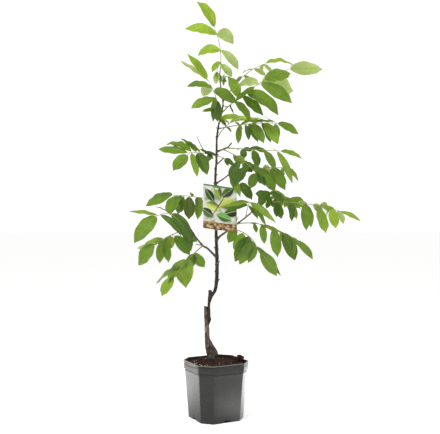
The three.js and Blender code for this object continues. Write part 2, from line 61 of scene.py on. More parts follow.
# %% Camera
MM = 0.001
EYE = (0.0132, -2.3377, 0.638)
LENS, SENSOR = 60, 36


def add_to_scene(thing):
    bpy.context.scene.collection.objects.link(thing)


eye = bpy.data.objects.new("eye", bpy.data.cameras.new("eye"))
eye.data.lens = LENS
eye.data.sensor_width = SENSOR
eye.location = EYE
eye.rotation_euler = (math.radians(90), 0, 0)
add_to_scene(eye)
bpy.context.scene.camera = eye
print("camera at", EYE, "with a", LENS, "mm lens")

# %% [markdown]
# ## Light and floor
#
# Nursery plants are shown on white, in light that comes from everywhere. A plain white world
# does part of that. The lens sees it brighter than it lights the plant, as a white wall behind
# a plant is lit by lamps of its own, so the leaves keep their shade. One soft lamp above the
# left shoulder gives them a lit and a dark side. Two tall ones behind the plant graze the pot's
# sides and shine through the leaves. The floor is one wide pale sheet. It is not put on the
# plant's body, because it isn't part of the plant.

# %% Lamps and world
WHITE = (1.0, 1.0, 1.0, 1.0)
WALL_LIGHT, ROOM_LIGHT = 1.1, 0.55
LAMPS = {  # place, the point that it faces, width and height in metres, watts
    "lamp_key": ((-1.3, -1.9, 2.5), (0, 0, 0.75), (1.0, 1.0), 44),
    "lamp_right": ((2.3, -0.9, 1.2), (0, 0, 0.6), (0.8, 1.8), 10),
    "lamp_back_left": ((-1.7, 1.64, 0.46), (0, 0, 0.3), (0.9, 0.86), 14),
    "lamp_back_right": ((1.3, 1.9, 0.46), (0, 0, 0.3), (0.9, 0.86), 10),
}


def aim(thing, target):
    way = Vector(target) - thing.location
    thing.rotation_euler = way.to_track_quat("-Z", "Y").to_euler()


for name, (place, target, (wide, tall), watts) in LAMPS.items():
    lamp = bpy.data.objects.new(name, bpy.data.lights.new(name, "AREA"))
    lamp.data.shape = "RECTANGLE"
    lamp.data.size = wide
    lamp.data.size_y = tall
    lamp.data.energy = watts
    lamp.location = place
    lamp.visible_camera = False
    aim(lamp, target)
    add_to_scene(lamp)

world = bpy.data.worlds.new("white_room")
bpy.context.scene.world = world
world.use_nodes = True
sky = world.node_tree
seen = sky.nodes.new("ShaderNodeLightPath").outputs["Is Camera Ray"]
strength = sky.nodes.new("ShaderNodeMapRange")
strength.inputs["To Min"].default_value = ROOM_LIGHT
strength.inputs["To Max"].default_value = WALL_LIGHT
sky.links.new(seen, strength.inputs["Value"])
sky.nodes["Background"].inputs["Color"].default_value = WHITE
sky.links.new(strength.outputs["Result"], sky.nodes["Background"].inputs["Strength"])
bpy.context.scene.view_settings.view_transform = "Standard"
print("lamps:", ", ".join(LAMPS))

# %% [markdown]
# ## A few words for building nodes and meshes
#
# Shader nodes are quicker to read as nested calls than as a list of links. `put` adds a node,
# sets it up and links whatever it is given. `Heap` gathers the points and faces of many small
# bodies, so that hundreds of leaflets end up as one mesh.

# %% Node helper
def put(tree, kind, inputs=None, **settings):
    """A new shader node. An input that is given a socket is linked to it, and any other is set."""
    node = tree.nodes.new("ShaderNode" + kind)
    for key, value in settings.items():
        setattr(node, key, value)
    for key, value in (inputs or {}).items():
        if isinstance(value, bpy.types.NodeSocket):
            tree.links.new(value, node.inputs[key])
        else:
            node.inputs[key].default_value = value
    return node


def maths(tree, operation, a, b=0.0, clamp=False):
    return put(tree, "Math", {0: a, 1: b}, operation=operation, use_clamp=clamp).outputs[0]


def blend(tree, share, a, b):
    """The colour a with the colour b over it, by share."""
    mixed = put(tree, "Mix", {0: share, 6: a, 7: b}, data_type="RGBA")
    return mixed.outputs[2]


def cover(tree, colour, mask, strength, paint):
    """The colour with a paint over it where the mask says, by strength at the most."""
    return blend(tree, maths(tree, "MULTIPLY", mask, strength), colour, paint)


def step(tree, value, low, high, to_low=0.0, to_high=1.0):
    """A soft step from to_low to to_high as value goes from low to high."""
    made = put(tree, "MapRange", {
        "Value": value, "From Min": low, "From Max": high, "To Min": to_low, "To Max": to_high,
    }, interpolation_type="SMOOTHSTEP")
    return made.outputs["Result"]


# %% Places and clouds
def place_of(tree):
    """Places in metres, in the plant's own frame."""
    return put(tree, "TexCoord").outputs["Object"]


def part_of(tree, vector, axis):
    return put(tree, "SeparateXYZ", {0: vector}).outputs[axis]


def stretched(tree, place, scale):
    return put(tree, "Mapping", {"Vector": place, "Scale": scale}).outputs[0]


def cloud(tree, place, scale, detail=3.0, roughness=0.5):
    made = put(tree, "TexNoise", {
        "Vector": place, "Scale": scale, "Detail": detail, "Roughness": roughness,
    })
    return made.outputs["Fac"]


# %% Node groups
def group(name, inputs, outputs):
    """An empty node group with these sockets, and its two end nodes."""
    tree = bpy.data.node_groups.new(name, "ShaderNodeTree")
    for label, value in inputs.items():
        tree.interface.new_socket(label, in_out="INPUT", socket_type="NodeSocketFloat")
        tree.interface.items_tree[label].default_value = value
    for label in outputs:
        tree.interface.new_socket(label, in_out="OUTPUT", socket_type="NodeSocketFloat")
    return tree, tree.nodes.new("NodeGroupInput").outputs, tree.nodes.new("NodeGroupOutput")


def give(tree, out, **results):
    """Links what a group found to its outputs."""
    for label, value in results.items():
        tree.links.new(value, out.inputs[label])


def use(tree, made, **values):
    """A node group placed in a material, with its inputs set by name."""
    node = put(tree, "Group", node_tree=made)
    for label, value in values.items():
        node.inputs[label].default_value = value
    return node.outputs


# %% Materials
def material(name):
    """A new material, its tree and its Principled shader."""
    made = bpy.data.materials.new(name)
    made.use_nodes = True
    tree = made.node_tree
    return made, tree, tree.nodes["Principled BSDF"]


def finish_shader(tree, shader, colour, roughness, height, bump, deep, specular=0.5):
    """Links a colour, a roughness and a bump height to the shader. deep is in metres."""
    for socket, value in (("Base Color", colour), ("Roughness", roughness)):
        tree.links.new(value, shader.inputs[socket])
    relief = put(tree, "Bump", {"Height": height, "Strength": bump, "Distance": deep})
    tree.links.new(relief.outputs[0], shader.inputs["Normal"])
    shader.inputs["Specular IOR Level"].default_value = specular


def rgb(red, green, blue):
    """A colour as seen on a screen, 0 to 255, as the linear one that shaders take."""
    def linear(c):
        share = c / 255
        return share / 12.92 if share <= 0.04045 else ((share + 0.055) / 1.055) ** 2.4
    return (linear(red), linear(green), linear(blue), 1.0)


# %% Mesh helper
class Heap:
    """Points and faces gathered for one joined mesh, in millimetres."""

    def __init__(self):
        self.points, self.faces, self.uvs, self.finish = [], [], [], []
        self.count = 0

    def add(self, points, faces, uvs=None, finish=0):
        """Adds a body. finish is the number of its material, or one number for each face."""
        self.points.append(np.asarray(points, float))
        self.faces += [[self.count + i for i in face] for face in faces]
        self.finish += np.broadcast_to(finish, len(faces)).astype(int).tolist()
        self.uvs.append(np.zeros((len(points), 2)) if uvs is None else uvs)
        self.count += len(points)

    def piece(self, name, materials, slot):
        mesh = bpy.data.meshes.new(name)
        mesh.from_pydata(np.vstack(self.points) * MM, [], self.faces)
        for made in materials:
            mesh.materials.append(made)
        mesh.polygons.foreach_set("material_index", self.finish)
        mesh.polygons.foreach_set("use_smooth", [True] * len(self.faces))
        corners = np.zeros(len(mesh.loops), int)
        mesh.loops.foreach_get("vertex_index", corners)
        sheet = mesh.uv_layers.new(name="own")
        sheet.data.foreach_set("uv", np.vstack(self.uvs)[corners].ravel())
        return settle(bpy.data.objects.new(name, mesh))


def settle(piece):
    """Puts a piece in the scene, on the one body."""
    add_to_scene(piece)
    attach(piece, "root")
    return piece


def triangles(piece):
    return sum(len(face.vertices) - 2 for face in piece.data.polygons)


# %% Lines and tubes
UP = np.array([0.0, 0.0, 1.0])


def unit(v):
    return v / np.linalg.norm(v, axis=-1, keepdims=True)


def mean(a, b, share):
    return a + (b - a) * share


def arc(start, bend, end):
    """A plain curve from start to end that bend pulls aside, as a function of t from 0 to 1."""
    return lambda t: (1 - t) ** 2 * start + 2 * t * (1 - t) * bend + t * t * end


def skin(rings):
    """Faces over rings of points that all have the same count, with flat ends."""
    rows, count = len(rings), len(rings[0])
    faces = []
    for r in range(rows - 1):
        for i in range(count):
            j = (i + 1) % count
            faces.append([r * count + i, r * count + j, (r + 1) * count + j, (r + 1) * count + i])
    faces.append(list(range(count))[::-1])
    faces.append([(rows - 1) * count + i for i in range(count)])
    return np.vstack(rings), faces


def tube(points, radii, sides):
    """Rings round a line of points, each turned no more than the line turns."""
    points = np.asarray(points, float)
    along = unit(np.gradient(points, axis=0))
    across = np.cross(along[0], [0.3, 0.9, 0.1])
    angles = np.linspace(0, 2 * math.pi, sides, endpoint=False)[:, None]
    rings = []
    for at, way, radius in zip(points, along, radii):
        across = unit(across - way * np.dot(across, way))
        over = np.cross(way, across)
        rings.append(at + radius * (across * np.cos(angles) + over * np.sin(angles)))
    return skin(rings)


# %% Seeded draws
def chance(seed):
    """Draws from 0 to 1, the same ones in each run."""
    state = seed

    def draw():
        nonlocal state
        state = (state + 0x6D2B79F5) & 0xFFFFFFFF
        t = ((state ^ (state >> 15)) * (state | 1)) & 0xFFFFFFFF
        t ^= (t + ((t ^ (t >> 7)) * (t | 61))) & 0xFFFFFFFF
        return ((t ^ (t >> 14)) & 0xFFFFFFFF) / 4294967296
    return draw


print("helpers ready, first draw", chance(1)())

# %% [markdown]
# ## The floor
#
# The floor has to be as white as the wall, and still take the pot's soft shadow, or the pot
# would float. So it is white paint that glows a little, with a faint cloud in its colour. The
# pot's walls are glossy and lean back, so what they mirror is the floor around them. Pools of
# light that only a mirroring surface sees give each wall its own shade, and light no leaf.

# %% Floor
FLOOR_SIDE = 60.0
FLOOR_GLOW = 0.46
POOLS = [  # place on the floor and radius in metres, and the glow added there
    ((-0.45, 0.35), 0.6, 2.4),
    ((0.4, 0.45), 0.6, 3.0),
    ((0.38, 0.02), 0.45, 1.6),
    ((0.18, -0.12), 0.16, 1.2),
]


def floor_finish():
    made, tree, shader = material("pale_floor")
    tone = cloud(tree, place_of(tree), 3.0)
    colour = blend(tree, tone, rgb(247, 247, 246), rgb(251, 251, 250))
    tree.links.new(colour, shader.inputs["Base Color"])
    shader.inputs["Roughness"].default_value = 0.7
    shader.inputs["Specular IOR Level"].default_value = 0.1
    shader.inputs["Emission Color"].default_value = WHITE
    mirrored = 0.0
    for (x, y), wide, glow in POOLS:
        far = put(tree, "VectorMath", {0: place_of(tree), 1: (x, y, 0.0)},
                  operation="DISTANCE").outputs["Value"]
        mirrored = maths(tree, "ADD", step(tree, far, 0.0, wide, glow, 0.0), mirrored)
    in_gloss = put(tree, "LightPath").outputs["Is Glossy Ray"]
    strength = put(tree, "Mix", {0: in_gloss, 2: FLOOR_GLOW, 3: mirrored}).outputs[0]
    tree.links.new(strength, shader.inputs["Emission Strength"])
    return made


floor_mesh = bpy.data.meshes.new("floor")
half_side = FLOOR_SIDE / 2
floor_mesh.from_pydata([
    (-half_side, -half_side, 0), (half_side, -half_side, 0),
    (half_side, half_side, 0), (-half_side, half_side, 0),
], [], [(0, 1, 2, 3)])
floor_mesh.materials.append(floor_finish())
floor = bpy.data.objects.new("floor", floor_mesh)
add_to_scene(floor)
print("floor", FLOOR_SIDE, "m wide")

# %% [markdown]
# ## Effects that several finishes share
#
# Wear, mottling and cracks turn up on plastic, bark and leaves alike, each time at another
# scale. Each effect is a node group that puts out only masks and heights, and every material
# places it with its own numbers. Changing the group changes all of them at once.

# %% Group: mottle, a slow change of tone
def make_mottle():
    tree, given, out = group("mottle", {"Scale": 60.0}, ["Tone", "Grain"])
    place = place_of(tree)
    tone = cloud(tree, place, given["Scale"], 2.0)
    grain = cloud(tree, place, maths(tree, "MULTIPLY", given["Scale"], 11.0), 2.0)
    give(tree, out, Tone=step(tree, tone, 0.3, 0.7), Grain=grain)
    return tree


MOTTLE = make_mottle()


# %% Group: wear, dust on ledges and fine scratches
def make_wear():
    tree, given, out = group("wear", {"Scratches": 120.0, "Dust": 0.5}, ["Dust", "Scratch"])
    place = place_of(tree)
    facing_up = part_of(tree, put(tree, "NewGeometry").outputs["Normal"], "Z")
    ledge = step(tree, facing_up, 0.2, 0.9)
    patches = step(tree, cloud(tree, place, 45.0, 4.0, 0.65), 0.42, 0.68)
    dust = maths(tree, "MULTIPLY", maths(tree, "ADD", ledge, patches), given["Dust"], clamp=True)
    lines = put(tree, "TexNoise", {
        "Vector": stretched(tree, place, (1.0, 1.0, 0.12)), "Scale": given["Scratches"],
        "Detail": 5.0, "Distortion": 0.6,
    }).outputs["Fac"]
    give(tree, out, Dust=dust, Scratch=step(tree, lines, 0.62, 0.7))
    return tree


WEAR = make_wear()


# %% Group: bark, cracks along the limb and pale breathing pores
def make_bark():
    sizes = {"Cracks": 260.0, "Pores": 190.0, "Stretch": 0.22}
    tree, given, out = group("bark", sizes, ["Crack", "Pore", "Height"])
    place = place_of(tree)
    scale = put(tree, "CombineXYZ", {0: 1.0, 1: 1.0, 2: given["Stretch"]}).outputs[0]
    tall = put(tree, "VectorMath", {0: place, 1: scale}, operation="MULTIPLY").outputs[0]
    ridged = cloud(tree, tall, given["Cracks"], 5.0, 0.6)
    crack = step(tree, maths(tree, "ABSOLUTE", maths(tree, "SUBTRACT", ridged, 0.5)), 0.0, 0.07, 1, 0)
    flat = stretched(tree, place, (1.0, 1.0, 1.8))
    cells = put(tree, "TexVoronoi", {"Vector": flat, "Scale": given["Pores"]})
    pore = step(tree, cells.outputs["Distance"], 0.12, 0.26, 1, 0)
    height = maths(tree, "SUBTRACT", maths(tree, "ADD", ridged, maths(tree, "MULTIPLY", pore, 0.35)),
                   maths(tree, "MULTIPLY", crack, 0.5))
    give(tree, out, Crack=crack, Pore=pore, Height=height)
    return tree


BARK = make_bark()
print("shared groups:", ", ".join(made.name for made in (MOTTLE, WEAR, BARK)))


# %% A finish of two tones
def two_tone(name, scale, dark, light, rough, bump, deep, effect=None, sizes=None, marks=(),
             relief=None, grain=(0.3, 0.7), specular=0.5):
    """A finish that drifts between a dark and a light tone, at most with one effect on it.

    marks are the effect's masks, each with its strength and its paint. rough is the roughness
    over the range of the grain, and relief is the effect's output that the bump follows, or
    else it follows the grain."""
    made, tree, shader = material(name)
    mottle = use(tree, MOTTLE, Scale=scale)
    worn = use(tree, effect, **sizes) if effect else {}
    colour = blend(tree, mottle["Tone"], rgb(*dark), rgb(*light))
    for mask, strength, paint in marks:
        colour = cover(tree, colour, worn[mask], strength, rgb(*paint))
    roughness = step(tree, mottle["Grain"], *grain, *rough)
    height = worn[relief] if relief else mottle["Grain"]
    finish_shader(tree, shader, colour, roughness, height, bump, deep, specular)
    return made


print("two_tone ready")

# %% [markdown]
# ## The pot
#
# The pot is injection-moulded from recycled charcoal plastic. It is a square with broad cut
# corners, a stepped band under the rim and a thin rolled lip. The solid has its true size but
# knife-sharp edges. Moulded plastic never has those, and they are where the light catches. So
# the shell is lofted again through the same levels, each octagon with rounded corners, and with
# walls that belly a little under the weight of the mix. A narrow groove runs under the band and
# another under the lip. They stay dark, and make both of them read as steps from afar.

# %% Pot sizes
POT_TURN = 27.5
POT_HEIGHT = 181.6
WALL = 1.6
POT_FLOOR = 2.4
BASE, UNDER_BAND, BAND, LIP = (150, 42), (170, 46), (175, 48), (180, 49)
BAND_HEIGHT, LIP_HEIGHT = 26, 2.4
CORNER = 5.0
BELLY, UNDERCUT = 1.1, 1.2
# Heights in metres between which the lining turns to painted black shade at its foot.
NOTCH_SHADE_TOP, NOTCH_SHADE_LOW = 0.014, 0.010
DRAIN_WIDTH, DRAIN_HEIGHT, DRAIN_DEPTH = 28, 7, 4
FLAT_STEPS, CORNER_STEPS = 6, 4


def rounded_octagon(size, z, inset=0.0, belly=0.0):
    """One level of the pot: width across the flats and chamfer length, with round corners."""
    across, chamfer = size
    half = across / 2 - inset
    flat = (across - chamfer * math.sqrt(2)) / 2 - inset * math.tan(math.pi / 8)
    sharp = [(half, -flat), (half, flat), (flat, half), (-flat, half),
             (-half, flat), (-half, -flat), (-flat, -half), (flat, -half)]
    corner = CORNER * math.tan(math.pi / 8)
    ring = []
    for i, here in enumerate(sharp):
        here = np.array(here)
        before, after = np.array(sharp[i - 1]), np.array(sharp[(i + 1) % 8])
        start = here + corner * unit(before - here)
        end = here + corner * unit(after - here)
        for k in range(CORNER_STEPS + 1):
            ring.append(arc(start, here, end)(k / CORNER_STEPS))
        stop = after + corner * unit(here - after)
        outward = unit((here + after) / 2)
        for k in range(1, FLAT_STEPS):
            t = k / FLAT_STEPS
            ring.append(end + t * (stop - end) + outward * belly * math.sin(math.pi * t) ** 2)
    turn = math.radians(POT_TURN)
    c, s = math.cos(turn), math.sin(turn)
    return np.array([(x * c - y * s, x * s + y * c, z) for x, y in ring])


# %% Levels of the pot
def groove(lower, upper, z, belly):
    """The rings of the groove at z, where the wall steps out from one size to the next."""
    return [(lower, z - 6.6, 0, belly), (lower, z - 6.2, 0, 0), (lower, z - 0.7, UNDERCUT, 0),
            (lower, z - 0.5, UNDERCUT, 0), (upper, z - 0.1, 0.4, 0)]


def pot_levels():
    """Size, height, inset and belly of each ring, from the foot up and down the inside."""
    foot, band_foot, lip_foot = 2.0, POT_HEIGHT - BAND_HEIGHT, POT_HEIGHT - LIP_HEIGHT
    levels = [(BASE, 0, foot, 0), (BASE, 0.6, 0.6, 0), (BASE, foot, 0, 0)]
    for share in (0.15, 0.3, 0.5, 0.7, 0.85, 0.94):
        size = [mean(low, high, share) for low, high in zip(BASE, UNDER_BAND)]
        z = foot + share * (band_foot - foot)
        levels.append((size, z, 0, BELLY * math.sin(math.pi * share)))
    levels += groove(UNDER_BAND, BAND, band_foot, 0)
    levels += [(BAND, band_foot + 0.6, 0, 0), (BAND, band_foot + 1.0, 0, 0),
               (BAND, band_foot + 9, 0, 0.3)]
    levels += groove(BAND, LIP, lip_foot, 0.2)
    levels += [
        (LIP, lip_foot + 0.3, 0, 0), (LIP, POT_HEIGHT - 1.4, 0, 0), (LIP, POT_HEIGHT - 0.7, 0.25, 0),
        (LIP, POT_HEIGHT - 0.2, 0.8, 0), (LIP, POT_HEIGHT, 1.5, 0),
        (BAND, POT_HEIGHT - 0.1, 0.5, 0), (BAND, POT_HEIGHT - 0.7, WALL, 0),
        (BAND, band_foot + WALL, WALL, 0), (UNDER_BAND, band_foot, WALL, 0),
        (BASE, POT_FLOOR, WALL, 0),
    ]
    return levels


# %% Drain notches
def bake_modifiers(piece):
    """Applies a piece's modifiers, keeping its place and its materials."""
    now = bpy.context.evaluated_depsgraph_get()
    mesh = bpy.data.meshes.new_from_object(piece.evaluated_get(now), depsgraph=now)
    piece.modifiers.clear()
    piece.data = mesh


def cut_drains(shell):
    """Arched notches through the wall, at the foot of each main flat."""
    arch = bmesh.new()
    for side in range(4):
        turn = math.radians(POT_TURN + 90 * side)
        c, s = math.cos(turn), math.sin(turn)
        rings = []
        for y in (BASE[0] / 2 - DRAIN_DEPTH, BASE[0] / 2 + DRAIN_DEPTH):
            ring = [(-DRAIN_WIDTH / 2, -2), (DRAIN_WIDTH / 2, -2)]
            ring += [(DRAIN_WIDTH / 2 * math.cos(a), DRAIN_HEIGHT * math.sin(a))
                     for a in np.linspace(0, math.pi, 13)]
            rings.append([arch.verts.new((MM * (x * c - y * s), MM * (x * s + y * c), MM * z))
                          for x, z in ring])
        near, far = rings
        for i in range(len(near)):
            j = (i + 1) % len(near)
            arch.faces.new((near[i], near[j], far[j], far[i]))
        arch.faces.new(near[::-1])
        arch.faces.new(far)
    bmesh.ops.recalc_face_normals(arch, faces=arch.faces)
    mesh = bpy.data.meshes.new("drain_cutter")
    arch.to_mesh(mesh)
    arch.free()
    mesh.polygons.foreach_set("material_index", [1] * len(mesh.polygons))
    cutter = bpy.data.objects.new("drain_cutter", mesh)
    add_to_scene(cutter)
    cut = shell.modifiers.new("drains", "BOOLEAN")
    cut.operation = "DIFFERENCE"
    cut.solver = "EXACT"
    cut.object = cutter
    bake_modifiers(shell)
    bpy.data.objects.remove(cutter)


# %% Pot plastic
def pot_finish():
    """Charcoal plastic: smooth and glossy, finely pitted, with a painted highlight along the lip."""
    made, tree, shader = material("pot_plastic")
    mottle = use(tree, MOTTLE, Scale=16.0)
    wear = use(tree, WEAR, Scratches=210.0, Dust=0.22)
    colour = blend(tree, mottle["Tone"], rgb(31, 31, 30), rgb(36, 36, 35))
    colour = cover(tree, colour, wear["Scratch"], 0.08, rgb(96, 94, 90))
    colour = cover(tree, colour, wear["Dust"], 0.12, rgb(120, 114, 104))
    high = part_of(tree, place_of(tree), "Z")
    top = POT_HEIGHT * MM
    # Painted highlight: the top of the lip is painted pale, where the light catches it.
    lip_highlight = step(tree, high, top - LIP_HEIGHT * MM, top - 0.0004, 0.0, 0.7)
    colour = blend(tree, lip_highlight, colour, rgb(146, 143, 138))
    roughness = step(tree, mottle["Grain"], 0.3, 0.7, 0.25, 0.31)
    roughness = maths(tree, "ADD", roughness, maths(tree, "MULTIPLY", lip_highlight, 0.3))
    finish_shader(tree, shader, colour, roughness, mottle["Grain"], 0.01, 0.0002, 0.6)
    return made


def pot_lining():
    """The inside of the wall: the same plastic, dull with dried mix, and painted black at the foot as the
    shade in the drain notches.
    """
    made, tree, shader = material("pot_lining")
    mottle = use(tree, MOTTLE, Scale=90.0)
    colour = blend(tree, mottle["Tone"], rgb(30, 27, 25), rgb(52, 42, 35))
    high = part_of(tree, place_of(tree), "Z")
    # Painted shade: the inside is painted black below the tops of the drain notches, where it lies in
    # shadow.
    colour = blend(tree, step(tree, high, NOTCH_SHADE_LOW, NOTCH_SHADE_TOP, 1.0, 0.0), colour, rgb(8, 8, 7))
    roughness = step(tree, mottle["Grain"], 0.3, 0.7, 0.7, 0.9)
    finish_shader(tree, shader, colour, roughness, mottle["Grain"], 0.3, 0.0004, 0.2)
    return made


# %% The pot's shell
pot = Heap()
levels = pot_levels()
rings = [rounded_octagon(*level) for level in levels]
points, faces = skin(rings)
first_inside = 1 + max(i for i, level in enumerate(levels) if level[1] >= POT_HEIGHT - 0.1)
pot.add(points, faces, finish=[min(face) // len(rings[0]) >= first_inside for face in faces])
pot_shell = pot.piece("pot_shell", [pot_finish(), pot_lining()], "pot_plastic")
cut_drains(pot_shell)
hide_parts("pot")
print("pot_shell", triangles(pot_shell), "triangles")

# %% [markdown]
# ## The potting mix
#
# The mix is composted bark and peat. Up close it is not a surface but a heap of pieces, so it
# is made as both: a bumpy dark bed that fills the pot, and a few hundred chips, fibres and white
# perlite crumbs that are pressed into it. One chip stands up over the rim at the right.

# %% Bed
SOIL_LEVEL, SOIL_DROP = 176.0, 3.0
SOIL_RINGS = 30
LUMP_HIGH, LUMP_WIDE = 2.4, 17
LOOSE_GRAIN = (0.2, 0.8)


def lumps(x, y):
    """How far the bed stands up at a place, in millimetres."""
    return LUMP_HIGH * noise.fractal(Vector((x / LUMP_WIDE, y / LUMP_WIDE, 3.7)), 0.8, 2.0, 4)


def soil_bed():
    inset = WALL + 0.3
    band_foot = POT_HEIGHT - BAND_HEIGHT
    rings = [rounded_octagon(BASE, DRAIN_HEIGHT + 1, inset),
             rounded_octagon(UNDER_BAND, band_foot - 7, inset)]
    edge = rounded_octagon(BAND, SOIL_LEVEL - SOIL_DROP, inset)
    rings.append(edge - UP * 6)
    for i in range(SOIL_RINGS):
        share = 1 - i / SOIL_RINGS
        ring = edge * [share, share, 1] + UP * SOIL_DROP * (1 - share ** 2)
        ring[:, 2] += [lumps(x, y) * min(1, 2.5 * (1.08 - share)) for x, y, _ in ring]
        rings.append(ring)
    return skin(rings)


SOIL = two_tone("potting_mix", 160.0, (34, 20, 14), (74, 42, 29), rough=(0.8, 0.98), bump=0.8,
                deep=0.002, grain=LOOSE_GRAIN, specular=0.2)
bed = Heap()
bed.add(*soil_bed())
soil_piece = bed.piece("potting_mix_bed", [SOIL], "potting_mix")
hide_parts("soil")
print("potting_mix_bed", triangles(soil_piece), "triangles")


# %% Broken pieces
CHIPS, FIBRES, CRUMBS = 340, 60, 26
SPOTS_WIDE, SPOTS_FLAT, SPOTS_CORNER, SPOTS_DOWN = 168, 80, 112, 1.5
CRUMB_SIDE = -25
RIM_CHIPS = [([79, 20, 186], 22), ([70, 30, 182], 15), ([82, 8, 182], 12), ([71, 10, 180], 14)]


def ball(steps):
    """The points and faces of a small round body."""
    made = bmesh.new()
    bmesh.ops.create_icosphere(made, subdivisions=steps, radius=0.5)
    points = np.array([v.co[:] for v in made.verts])
    faces = [[v.index for v in face.verts] for face in made.faces]
    made.free()
    return points, faces


def flake(heap, at, size, draw, flat, finish, rough=0.35):
    """A broken piece: a ball squeezed flat, dented and turned at random."""
    points, faces = ball(2)
    offset = Vector((draw() * 50, draw() * 50, draw() * 50))
    dents = [1 + rough * noise.noise(Vector(p) * 3.1 + offset) for p in points]
    points = points * np.array(dents)[:, None] * [1, 0.45 + 0.4 * draw(), flat * (0.7 + 0.6 * draw())]
    for axis, swing in ((0, 0.7), (1, 0.7), (2, math.pi)):
        angle = (draw() - 0.5) * 2 * swing
        c, s = math.cos(angle), math.sin(angle)
        a, b = [k for k in range(3) if k != axis]
        turned = points.copy()
        turned[:, a] = points[:, a] * c - points[:, b] * s
        turned[:, b] = points[:, a] * s + points[:, b] * c
        points = turned
    heap.add(points * size + at, faces, finish=finish)


def spot_on_soil(draw):
    """A place on the bed, inside the wall."""
    while True:
        x, y = (draw() - 0.5) * SPOTS_WIDE, (draw() - 0.5) * SPOTS_WIDE
        turn = math.radians(-POT_TURN)
        u = abs(x * math.cos(turn) - y * math.sin(turn))
        v = abs(x * math.sin(turn) + y * math.cos(turn))
        if max(u, v) < SPOTS_FLAT and u + v < SPOTS_CORNER:
            return x, y, SOIL_LEVEL - SPOTS_DOWN + lumps(x, y) * 0.6


# %% Chips and fibres
def chip_finish(name, dark, light):
    return two_tone(name, 240.0, dark, light, rough=(0.7, 0.92), bump=0.6, deep=0.0008,
                    effect=BARK, sizes=dict(Cracks=420.0, Pores=260.0, Stretch=0.6),
                    marks=[("Crack", 0.6, (24, 15, 12))], relief="Height", grain=LOOSE_GRAIN,
                    specular=0.25)


chips = Heap()
draw = chance(41)
for i in range(CHIPS):
    x, y, z = spot_on_soil(draw)
    flake(chips, [x, y, z], 4 + 8 * draw() ** 2, draw, 0.4, int(draw() * 3))
for at, size in RIM_CHIPS:
    flake(chips, at, size, draw, 0.75, 0, 0.6)
for i in range(FIBRES):
    x, y, z = spot_on_soil(draw)
    way, long = draw() * 2 * math.pi, 5 + 10 * draw()
    ends = [np.array([x, y, z + 1.6]) + long * k * np.array([math.cos(way), math.sin(way), 0])
            + UP * 1.2 * math.sin(3 * k + way) for k in (0, 0.3, 0.6, 1)]
    chips.add(*tube(ends, [0.35, 0.45, 0.4, 0.2], 5), finish=1)
chip_piece = chips.piece("bark_chips", [
    chip_finish("bark_chip_dark", (34, 20, 16), (66, 38, 28)),
    chip_finish("bark_chip_red", (62, 32, 21), (110, 62, 42)),
    chip_finish("bark_chip_brown", (44, 30, 23), (88, 62, 46)),
], "potting_mix")
print("chips", triangles(chip_piece), "triangles")

# %% Perlite, with more of it at the left
PERLITE = two_tone("perlite", 400.0, (196, 186, 168), (236, 230, 218), rough=(0.8, 0.95),
                   bump=0.5, deep=0.0006, grain=LOOSE_GRAIN)
crumbs = Heap()
for i in range(CRUMBS):
    x, y, z = spot_on_soil(draw)
    while i % 2 and x > CRUMB_SIDE:
        x, y, z = spot_on_soil(draw)
    flake(crumbs, [x, y, z + 1.4], 2.0 + 2.4 * draw(), draw, 0.8, 0, 0.2)
crumb_piece = crumbs.piece("perlite", [PERLITE], "potting_mix")
print("perlite", triangles(crumb_piece), "triangles")

# %% [markdown]
# ## Limbs
#
# A limb is a row of places with a radius at each. A smooth curve through them gives its line.
# These are the same rows that the solids were made from, because the bark has to lie where the
# solids are. Only the crown of roots differs: its upper end runs into the rootstock here, and a
# web fills the fork below it. The rootstock and its roots, the scion that was grafted to it, and
# the leader that took over from the scion are separate rows that have grown together.

# %% Rows of the limbs, x, y, z and radius in millimetres
LIMBS = {
    "rootstock": [
        [-13, 12, 170, 11.5], [-16, 12, 182, 9.5], [-22, 12, 203, 8.2], [-27, 12, 228, 8],
        [-28, 13, 265, 8.1], [-29.5, 13, 296, 7.3], [-32, 13, 322, 6], [-33.2, 13, 348, 4.2],
        [-33.4, 13, 352, 3.4],
    ],
    "root_crown": [
        [-6, 8, 170, 11], [-4, 9, 190, 9.4], [-3.5, 10, 208, 8], [-12, 11, 227, 4.6],
        [-24, 12, 250, 3.8],
    ],
    "back_root": [[-16, 24, 170, 7.5], [-16, 20, 186, 6.6], [-20, 14, 212, 5]],
    "root_web": [[-11, 9, 172, 9.5], [-11, 10, 196, 8.5], [-15, 11, 222, 6.6], [-22, 12, 242, 4.6]],
    "scion": [
        [-24, 13, 294, 3.4], [-21.8, 13, 309, 6.4], [-23, 13, 330, 4.6], [-22.6, 13, 356, 4.5],
        [-19.4, 13, 386, 5.5], [-18.4, 13, 403.6, 5.7],
    ],
    "leader": [
        [-20, 13, 366, 4.2], [-14.5, 15, 383, 5], [-7.5, 16, 394, 5.2], [-1.1, 16, 408, 5.5],
        [2.6, 15, 437, 5.8], [3.6, 14, 472, 5.9], [3.4, 14, 506, 5.7], [1.4, 14, 565, 5],
        [0.3, 14, 600, 4.6], [-1, 14, 660, 4.2], [-1.8, 14, 746, 3.9], [-0.6, 14, 790, 3.7],
        [1.4, 13, 810, 3.5], [2.2, 13, 847, 3.3], [3, 12, 890, 3.1], [6.5, 12, 920, 2.9],
        [10, 11, 938, 2.8], [18.4, 10, 971, 2.6], [22.8, 9, 1008, 2.4], [15.6, 8, 1055, 2.1],
        [11.8, 7, 1087, 1.8],
    ],
}
